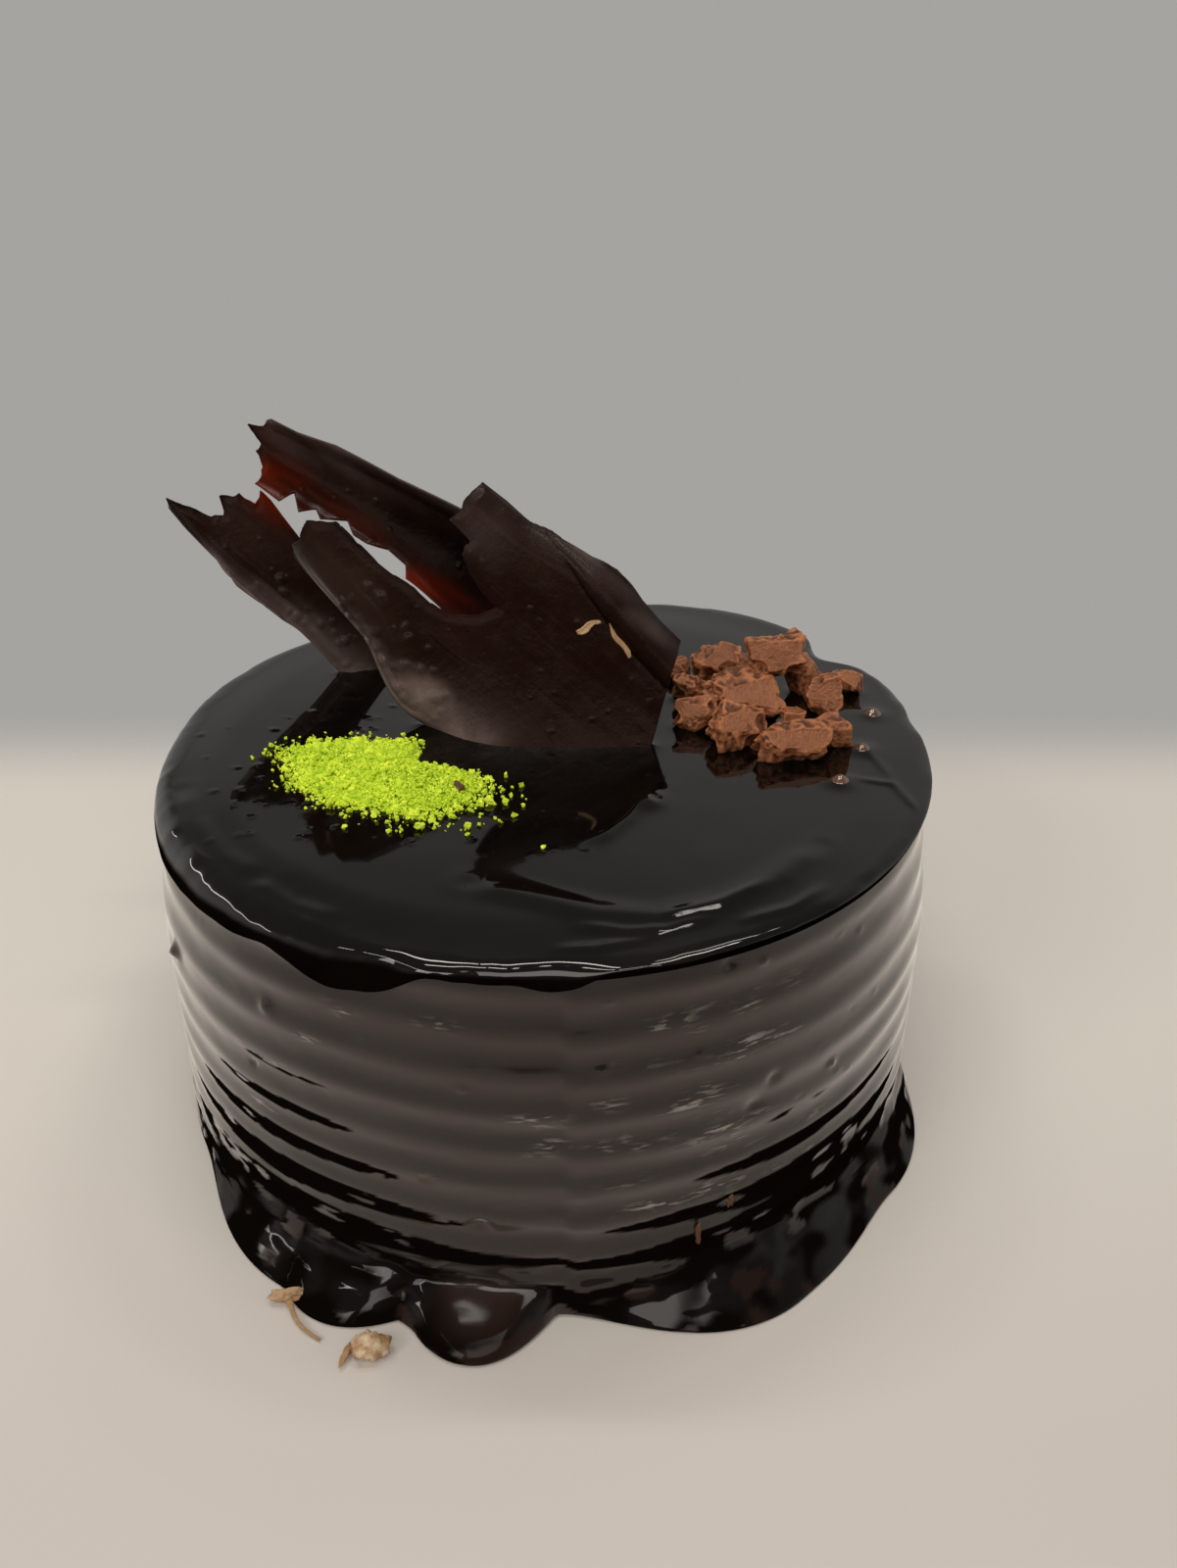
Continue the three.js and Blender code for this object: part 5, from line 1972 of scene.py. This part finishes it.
@dataclass
class ChunkPile(Piece):
    """The pile of milk chocolate: broken blocks with crags and knife-cut faces."""

    form: CakeForm
    chunks: tuple[Chunk, ...] = (
        Chunk((57.6, -10), (17, 10, 9), 8, cut=(0.1, -0.75, 0.65)),
        Chunk((68.8, -3.6), (8.6, 7.5, 7.5), 20),
        Chunk((45.6, -3.2), (14, 10.5, 10), 28, cut=(-0.1, -0.7, 0.7)),
        Chunk((36.6, 5.8), (9.5, 8, 8), -10, cut=(-0.1, -0.85, 0.5)),
        Chunk((48.4, 12.8), (20, 9.5, 9.5), 4, cut=(0.15, -0.6, 0.78)),
        Chunk((60.9, 6.4), (6.6, 5.4, 5), 15),
        Chunk((69.3, 13.4), (9.5, 9.5, 10), -12, cut=(0.1, -0.85, 0.5), dark=0.06),
        Chunk((66.6, 25.6), (8.5, 8.5, 9.5), 30, dark=0.05),
        Chunk((77.4, 26.8), (8, 6.4, 6), -18, cut=(0.3, -0.3, 0.9)),
        Chunk((57.2, 20.4), (14.5, 11, 11), 12, 7.2, (-0.2, -0.85, 0.5), (0.75, 0.2, 0.65)),
        Chunk((43.4, 31.6), (13, 10, 10.5), -8, cut=(0.3, -0.3, 0.9), dark=0.14),
        Chunk((36.4, 21.6), (9, 7, 6.5), -22, dark=0.08),
        Chunk((34.2, 33.4), (6, 6, 6), 0, dark=0.14),
        Chunk((53.6, 30.4), (8, 8, 8.5), 25, dark=0.22),
        Chunk((46.6, 22.6), (9, 7, 8), 40, dark=0.30),
    )
    seat: float = 0.86
    clearance: float = 0.09
    foot_share: float = 0.45
    cuts: int = 40
    sharpness: float = 24.0
    facets: int = 9
    side_tilt: float = 0.24
    side_far: Span = (0.82, 1.05)
    facet_far: Span = (0.85, 1.2)
    cut_far: float = 0.72
    uncut_far: float = 1.3
    uncut_way: Point = (0.0, -0.7, 0.7)
    cut_edge: NoiseLayer = NoiseLayer(0.3, 0.3125, 2, offset=500)
    horn_rise: float = 0.42
    bites: int = 8
    bite_radii: Span = (0.4, 1.1)
    bite_nearest: Span = (0.72, 0.94)
    lobes: NoiseLayer = NoiseLayer(0.14, 5.2, offset=300)
    crags: NoiseLayer = NoiseLayer(2.4, 4.4, 3, offset=100)
    crag_rise: float = 0.09
    crag_tone: float = 0.2
    pocks: NoiseLayer = NoiseLayer(1.0, 2.2, 2, offset=200)
    pock_depth: float = 0.16
    grains: NoiseLayer = NoiseLayer(0.16, 1.6, 2, offset=400)
    wear_and_edge_highlight: float = 25.0

    def feet(self) -> list[tuple[Place, Place, float]]:
        """Place, half sizes and turn of each chunk that stands on the glaze."""
        standing = [chunk for chunk in self.chunks if chunk.lift == 0.0]
        return [(one.at, tuple(self.foot_share * np.array(one.size[:2])), one.turn) for one in standing]

    def block(self, chunk: Chunk, seed: int) -> Shape:
        """One chunk.

        In each direction its reach is a soft minimum of the distances to random facets, a power mean of
        their cosines over distances, with bites scooped out. Crags from layered noise roughen it, less on
        the cut face. It is paler where the crags stand out and on its convex edges, by wear and a painted
        highlight, and darker in its dips, its pocks and low down, and on chunks deep in the pile, by
        painted shade.

        Args:
            chunk: Its place and sizes.
            seed: Seed of its facets and crags.

        Returns:
            A closed shape with the fields crag and cut.
        """
        draw = np.random.default_rng(seed)
        ball = cube_ball(self.cuts)
        tilt = draw.uniform(-self.side_tilt, self.side_tilt, (6, 3))
        sides = np.concatenate([np.eye(3), -np.eye(3)]) + tilt
        facets = draw.normal(0, 1, (self.facets, 3))
        cut = np.array(chunk.cut if chunk.cut else self.uncut_way)
        normals = np.concatenate([sides, facets, [cut]])
        normals /= np.linalg.norm(normals, axis=1, keepdims=True)
        side_far = draw.uniform(*self.side_far, len(sides))
        facet_far = draw.uniform(*self.facet_far, self.facets)
        far = np.concatenate([side_far, facet_far, [self.cut_far if chunk.cut else self.uncut_far]])
        pull = (np.clip(ball.points @ normals.T, 0.0, None) / far) ** self.sharpness
        total = pull.sum(1)
        cut_share = np.zeros(len(total))
        if chunk.cut:
            ragged = self.cut_edge.at(ball.points, seed, seed)
            cut_share = smoothstep(pull[:, -1] / total + ragged, 0.5, 0.9)
        reach = self.bitten(ball.points, total ** (-1.0 / self.sharpness), cut, draw)
        if chunk.horn:
            way = np.array(chunk.horn) / np.linalg.norm(chunk.horn)
            reach = reach * (1.0 + self.horn_rise * smoothstep(ball.points @ way, 0.78, 1.0))
        half = np.array(chunk.size) / 2
        base = ball.points * reach[:, None] * half
        crag = 1.0 - np.abs(self.crags.at(base, seed, seed))
        pocks = np.clip(self.pocks.at(base, seed, -seed) - 0.42, 0.0, None)
        rough = self.lobes.at(base, seed, -seed) + self.crag_rise * crag - self.pock_depth * pocks
        reach = reach * (1.0 + rough * (1.0 - 0.82 * cut_share))
        points = ball.points * reach[:, None] * half
        points[:, 2] = np.maximum(points[:, 2], -self.seat * half[2])
        raised = smoothstep(points[:, 2] / half[2], -0.9, 0.1)
        x, y = chunk.at
        level = float(self.form.glaze_height(np.hypot(x, y), np.arctan2(y, x)))
        middle = level + self.clearance + chunk.lift + self.seat * half[2]
        points = turned(points, chunk.turn) + np.array([x, y, middle])
        # tone: paler where the crags stand out and on convex edges, by wear and painted highlight; darker in
        # pocks and deep in the pile, by painted shade
        tone = 0.5 - chunk.dark + self.crag_tone * crag + self.grains.at(base, seed, seed)
        tone = tone - 0.4 * pocks + self.wear_and_edge_highlight * self.convexity(reach, ball.quads)
        # painted shade: darker low down, towards the glaze, where the paler cut face fades too
        tone = np.clip(tone, 0.0, 1.0) * (1.0 - 0.5 * (1.0 - raised))
        return Shape(points, ball.quads, fields={"crag": tone, "cut": cut_share * raised})

    def bitten(self, way: Array, reach: Array, cut: Array, draw: np.random.Generator) -> Array:
        """Scoops round bites out of a chunk.

        A bite is a ball outside the chunk. A ray from the chunk's middle along d first meets a ball of
        middle c and radius r at d.c - sqrt((d.c)^2 - c.c + r^2), and ends there if that is nearer.

        Args:
            way: Directions of the rays.
            reach: Their lengths before the bites.
            cut: Direction of the cut face, which has none.
            draw: Random numbers.

        Returns:
            The new lengths.
        """
        middles = draw.normal(0, 1, (self.bites, 3))
        middles /= np.linalg.norm(middles, axis=1, keepdims=True)
        radii = draw.uniform(*self.bite_radii, self.bites)
        nearest = draw.uniform(*self.bite_nearest, self.bites)
        spare = middles @ cut / np.linalg.norm(cut) < 0.75
        for middle, radius, near in zip(middles[spare], radii[spare], nearest[spare]):
            far = near + radius
            toward = way @ middle * far
            inside = toward**2 - far**2 + radius**2
            meets = (inside > 0.0) & (toward > 0.0)
            reach = np.where(meets, np.minimum(reach, toward - np.sqrt(np.clip(inside, 0.0, None))), reach)
        return reach

    def convexity(self, reach: Array, quads: Array) -> Array:
        """How far each point stands above the mean of its neighbours, smoothed over a few rounds.

        Args:
            reach: Distance of each point from the middle.
            quads: Faces, which say who the neighbours are.

        Returns:
            Differences.
        """
        after = np.roll(quads, -1, axis=1)
        ends = np.concatenate([quads, after]).reshape(-1)
        others = np.concatenate([after, quads]).reshape(-1)
        count = np.bincount(ends, minlength=len(reach))
        mean = reach
        for _ in range(5):
            mean = np.bincount(ends, weights=mean[others], minlength=len(reach)) / count
        return reach - mean

    def build(self) -> None:
        """Makes each chunk as its own piece."""
        finish = MilkChunk().material()
        for number, chunk in enumerate(self.chunks, start=1):
            shape = self.block(chunk, number)
            self.hand_over(shape, f"milk_chunk_{number:02d}", finish, Slot.CHUNK, [f"chunk_{number:02d}"])


# Green crumb


@dataclass(frozen=True)
class CrumbLot:
    """Crumbs of one kind: their number, their widths and the faces along a side of each one's ball."""

    count: int
    widths: Span
    cuts: int


@dataclass
class CrumbDrift(Piece):
    """The heap of green crumb: a low core under thousands of crumbs, with strays round about."""

    form: CakeForm
    centre: Place = (-37.5, -19.5)
    half_length: float = 25.0
    half_width: float = 13.8
    turn: float = -29.0
    lobes: tuple[Lobe, ...] = (Lobe(80, 30, 2.6), Lobe(28, 32, -7.0))
    ragged: NoiseLayer = NoiseLayer(0.10, 1.0, 3, 0.6, offset=1)
    ragged_waves: float = 3.0
    height: float = 2.9
    core_sides: int = 90
    core_rows: int = 24
    core_sink: float = 0.2
    core_least: float = 0.15
    core_grain: NoiseLayer = NoiseLayer(0.5, 1.5, 2)
    # painted shade of the core under the crumbs
    core_shade_tint: float = 0.05
    lots: tuple[CrumbLot, ...] = (CrumbLot(500, (0.9, 1.7), 2), CrumbLot(11500, (0.42, 0.92), 1))
    heap_seat: float = 0.38
    heap_tints: Span = (0.15, 1.0)
    knock: Span = (-0.5, 0.4)
    stretch: Span = (0.6, 1.3)
    halo: int = 520
    halo_reach: float = 0.13
    halo_front: Lobe = Lobe(-60, 90, 0.12)
    halo_least: float = 0.35
    halo_seat: float = 0.36
    halo_tints: Span = (0.3, 1.0)
    strays: tuple[Point, ...] = (
        (-54.5, -24.3, 2.2), (-56.5, -21.3, 1.3), (-46.5, -34.0, 2.4), (-35.8, -37.7, 2.6),
        (-32.7, -40.9, 1.5), (-26.9, -38.5, 2.8), (-23.0, -40.5, 2.0), (-18.7, -38.9, 1.6),
        (-15.1, -42.8, 1.8), (-7.8, -32.4, 2.0), (-3.6, -33.6, 1.5), (-5.5, -38.1, 1.4),
        (-13.8, -24.3, 1.9), (-29.4, -3.7, 1.6), (1.2, -50.8, 0.9), (-62.6, -1.2, 1.0),
        (-59.3, -0.7, 0.9), (-11.4, -32.0, 2.1), (-25.6, -43.2, 2.6), (-41.8, -42.8, 1.2),
    )
    seed: int = 5

    def outline(self, angle: Array) -> Array:
        """Reach of the heap: a turned oval, a lobe at the back, a bite at the right and a ragged edge.

        Args:
            angle: Angles in radians, seen from the heap's own middle.

        Returns:
            Distances from the heap's middle.
        """
        own = angle - np.radians(self.turn)
        oval = 1.0 / np.hypot(np.cos(own) / self.half_length, np.sin(own) / self.half_width)
        ragged = 1.0 + self.ragged.at(round_place(angle, self.ragged_waves, 0.0), self.seed)
        return (oval + lobed(self.lobes, angle)) * ragged

    def crown(self, share: Array) -> Array:
        """Height of the core over the glaze at a share of its reach."""
        return self.height * np.clip(1.0 - share**2, 0.0, None) ** 0.8

    def around(self, angle: Array, radius: Array, z: Array | float) -> Array:
        """Places round the heap's own middle."""
        return round_place(angle, radius, z) + (*self.centre, 0.0)

    def core(self) -> Shape:
        """The core: rings that shrink to the middle, grainy on top and closed underneath.

        Returns:
            A closed shape of the darkest tint, painted shade under the crumbs.
        """
        angle = np.linspace(0.0, 2 * np.pi, self.core_sides, endpoint=False)
        upper = np.linspace(0.93, 0.06, self.core_rows)
        shares = np.concatenate([[0.9], upper])[:, None]
        rings = self.around(angle, shares * self.outline(angle), 0.0)
        floor = self.form.glaze_top - self.core_sink
        grain = self.core_grain.at(rings, self.seed) * smoothstep(1.0 - shares, 0.0, 0.3)
        rings[..., 2] = floor + np.clip(self.crown(shares) + grain, self.core_least, None)
        rings[0, :, 2] = floor
        shape = ring_solid(rings, (*self.centre, floor), (*self.centre, floor + self.height))
        shape.fields["tint"] = np.full(len(shape.points), self.core_shade_tint)
        return shape

    def scatter(
        self, places: Array, sizes: Array, tint: Array, draw: np.random.Generator, cuts: int
    ) -> Shape:
        """Crumbs at many places at once.

        Each crumb is a small ball, its points knocked in and out and its three sides stretched, turned by
        a random frame.

        Args:
            places: Middles of the crumbs.
            sizes: Their widths.
            tint: Their tints from 0 to 1.
            draw: Random numbers.
            cuts: Faces along a side of each crumb's ball.

        Returns:
            All crumbs in one shape.
        """
        ball = cube_ball(cuts)
        count = len(places)
        knock = 1.0 + draw.uniform(*self.knock, (count, len(ball.points), 1))
        stretch = draw.uniform(*self.stretch, (count, 1, 3))
        frames = np.linalg.qr(draw.normal(0, 1, (count, 3, 3)))[0]
        frames[:, :, 0] *= np.sign(np.linalg.det(frames))[:, None]
        points = (ball.points[None] * knock * stretch) @ frames
        points = points * sizes[:, None, None] / 2 + places[:, None, :]
        quads = ball.quads[None] + (np.arange(count) * len(ball.points))[:, None, None]
        values = np.repeat(tint, len(ball.points))
        return Shape(points.reshape(-1, 3), quads.reshape(-1, 4), fields={"tint": values})

    def heap(self, lot: CrumbLot, draw: np.random.Generator) -> Shape:
        """Crumbs strewn evenly over the core, sinking a little into it.

        Args:
            lot: Their number, widths and faces.
            draw: Random numbers.

        Returns:
            All these crumbs in one shape.
        """
        count = lot.count
        angle = draw.uniform(0.0, 2 * np.pi, count)
        share = np.sqrt(draw.uniform(0.0, 1.0, count)) + 0.07 * draw.normal(0.0, 1.0, count)
        sizes = draw.uniform(*lot.widths, count)
        rise = self.crown(share) + draw.uniform(-0.1, 0.75, count) * sizes
        rise = np.maximum(rise, self.heap_seat * sizes)
        middles = self.around(angle, share * self.outline(angle), self.form.glaze_top + rise)
        return self.scatter(middles, sizes, draw.uniform(*self.heap_tints, count), draw, lot.cuts)

    def loose(self, draw: np.random.Generator) -> Shape:
        """The strays seen round the heap and a halo of finer ones along its edge.

        Args:
            draw: Random numbers.

        Returns:
            All these crumbs in one shape.
        """
        angle = draw.uniform(0.0, 2 * np.pi, self.halo)
        away = np.abs(draw.normal(0.02, 1.0, self.halo))
        radius = self.outline(angle) * (1.0 + away * (self.halo_reach + self.halo_front.at(angle)))
        fine = self.halo_least + draw.uniform(0.0, 1.0, self.halo) ** 2
        spots = np.concatenate([np.array(self.strays), self.around(angle, radius, fine)])
        sizes = spots[:, 2].copy()
        spots[:, 2] = self.form.glaze_top + self.halo_seat * sizes
        tints = draw.uniform(*self.halo_tints, len(spots))
        return self.scatter(spots, sizes, tints, draw, 2)

    def build(self) -> None:
        """Makes the core and all crumbs as one piece."""
        draw = np.random.default_rng(self.seed)
        shapes = [self.core()] + [self.heap(lot, draw) for lot in self.lots]
        shapes.append(self.loose(draw))
        drift = Shape.joined(shapes)
        drift.smooth = False
        self.hand_over(drift, "green_crumbs", GreenCrumb().material(), Slot.CRUMB, ["green_crumb"])


# Studio


@dataclass(frozen=True)
class Lamp:
    """A soft rectangular light: place and aim in metres, its two sizes, power and colour."""

    name: str
    place: Point
    aim: Point
    size: Place
    power: float
    colour: Colour = (1.0, 0.95, 0.88)

    def build(self) -> None:
        """Puts the light into the scene."""
        light = bpy.data.lights.new(self.name, "AREA")
        light.shape = "RECTANGLE"
        light.size, light.size_y = self.size
        light.energy = self.power
        light.color = self.colour
        holder = bpy.data.objects.new(self.name, light)
        holder.location = self.place
        holder.rotation_euler = (Vector(self.aim) - Vector(self.place)).to_track_quat("-Z", "Y").to_euler()
        bpy.context.scene.collection.objects.link(holder)


@dataclass(frozen=True)
class Studio:
    """Floor, lights, surroundings and the camera at the viewing angle of the picture."""

    camera_place: Point = (0.0107, -0.292, 0.2418)
    camera_tilt: float = 60.7
    focal_length: float = 31.05
    sensor: float = 36.0
    floor_reach: float = 1.8
    floor_level: float = -0.0004
    floor_lines: int = 3
    back_grey: Colour = (0.375, 0.370, 0.355)
    front_grey: Colour = (0.13, 0.128, 0.125)
    overhead_grey: Colour = (0.17, 0.168, 0.162)
    side_pale: Colour = (0.60, 0.585, 0.56)
    lamps: tuple[Lamp, ...] = (
        Lamp("back_left", (-0.30, 0.22, 1.10), (-0.30, 0.10, 0.0), (0.26, 0.07), 1.0),
        Lamp("back_middle", (-0.04, 0.22, 1.10), (-0.04, 0.10, 0.0), (0.20, 0.07), 0.8),
        Lamp("back_right", (0.30, 0.22, 1.10), (0.30, 0.10, 0.0), (0.24, 0.07), 0.95),
        Lamp("mid_left", (-0.22, -0.14, 1.10), (-0.22, -0.10, 0.0), (0.34, 0.05), 1.0),
        Lamp("mid_right", (0.22, -0.14, 1.10), (0.22, -0.10, 0.0), (0.30, 0.05), 0.9),
        Lamp("front_fill", (0.15, -0.95, 1.15), (0.0, 0.0, 0.08), (1.1, 0.6), 6.5),
        Lamp("left_soft", (-0.72, -0.95, 0.85), (0.0, 0.0, 0.08), (0.5, 0.4), 3.6),
        Lamp("left_strip", (-0.95, 0.05, 0.48), (-0.06, -0.06, 0.09), (0.8, 0.03), 0.8),
        Lamp("left_front", (-0.68, -0.60, 0.80), (-0.04, -0.08, 0.09), (0.4, 0.02), 0.4),
        Lamp("far_right", (0.33, 0.46, 1.10), (0.20, 0.10, 0.0), (0.34, 0.05), 0.34),
    )

    def floor(self) -> None:
        """A wide plain floor."""
        reach = self.floor_reach / MM
        line = np.linspace(-reach, reach, self.floor_lines)
        x, y = np.meshgrid(line, line, indexing="ij")
        points = np.stack([x, y, np.full_like(x, self.floor_level / MM)], -1).reshape(-1, 3)
        plane = Shape(points, grid_quads(self.floor_lines, self.floor_lines)).to_object("floor")
        plane.data.materials.append(FloorFinish().material())

    def surroundings(self) -> None:
        """A grey room: dark in front, lighter behind, dim overhead and pale at both sides."""
        world = bpy.data.worlds.new("room")
        bpy.context.scene.world = world
        sheet = NodeSheet(world)
        way = sheet.add("ShaderNodeTexCoord", {}, {}, "Generated")
        across, away, up = (sheet.add("ShaderNodeSeparateXYZ", {}, {0: way}, axis) for axis in "XYZ")
        side = sheet.add("ShaderNodeMath", {"operation": "ABSOLUTE"}, {0: across}).eased(0.55, 0.95)
        tone = sheet.colours(away.eased(-0.45, 0.35), self.front_grey, self.back_grey)
        tone = sheet.colours(side, tone, self.side_pale)
        overhead = (up - across * 0.2).eased(0.44, 0.70)
        tone = sheet.colours(overhead, tone, self.overhead_grey)
        light = sheet.add("ShaderNodeBackground", {}, {"Color": tone})
        sheet.add("ShaderNodeOutputWorld", {}, {"Surface": light})

    def camera(self) -> None:
        """The camera of the picture, with no depth of field."""
        lens = bpy.data.cameras.new("camera")
        lens.sensor_fit = "VERTICAL"
        lens.sensor_height = self.sensor
        lens.lens = self.focal_length
        lens.clip_start = 0.01
        holder = bpy.data.objects.new("camera", lens)
        holder.location = self.camera_place
        holder.rotation_euler = (np.radians(self.camera_tilt), 0.0, 0.0)
        bpy.context.scene.collection.objects.link(holder)
        bpy.context.scene.camera = holder

    def build(self) -> None:
        """Sets up the whole studio."""
        self.camera()
        self.floor()
        self.surroundings()
        for lamp in self.lamps:
            lamp.build()
        bpy.context.scene.view_settings.view_transform = "Standard"


def main() -> None:
    """Builds the studio and every sub-assembly."""
    logging.basicConfig(level=logging.INFO, format="%(name)s %(message)s")
    Studio().build()
    form = CakeForm()
    shards = [front_shard(), back_shard(), left_shard()]
    pile = ChunkPile(form)
    CombedSide(form).build()
    PouredTop(form, [shard.foot_line() for shard in shards], pile.feet()).build()
    satin = DarkShard().material()
    for shard in shards:
        shard.build(satin)
    PaleFlakes(shards[0]).build()
    pile.build()
    CrumbDrift(form).build()


if __name__ == "__main__":
    main()
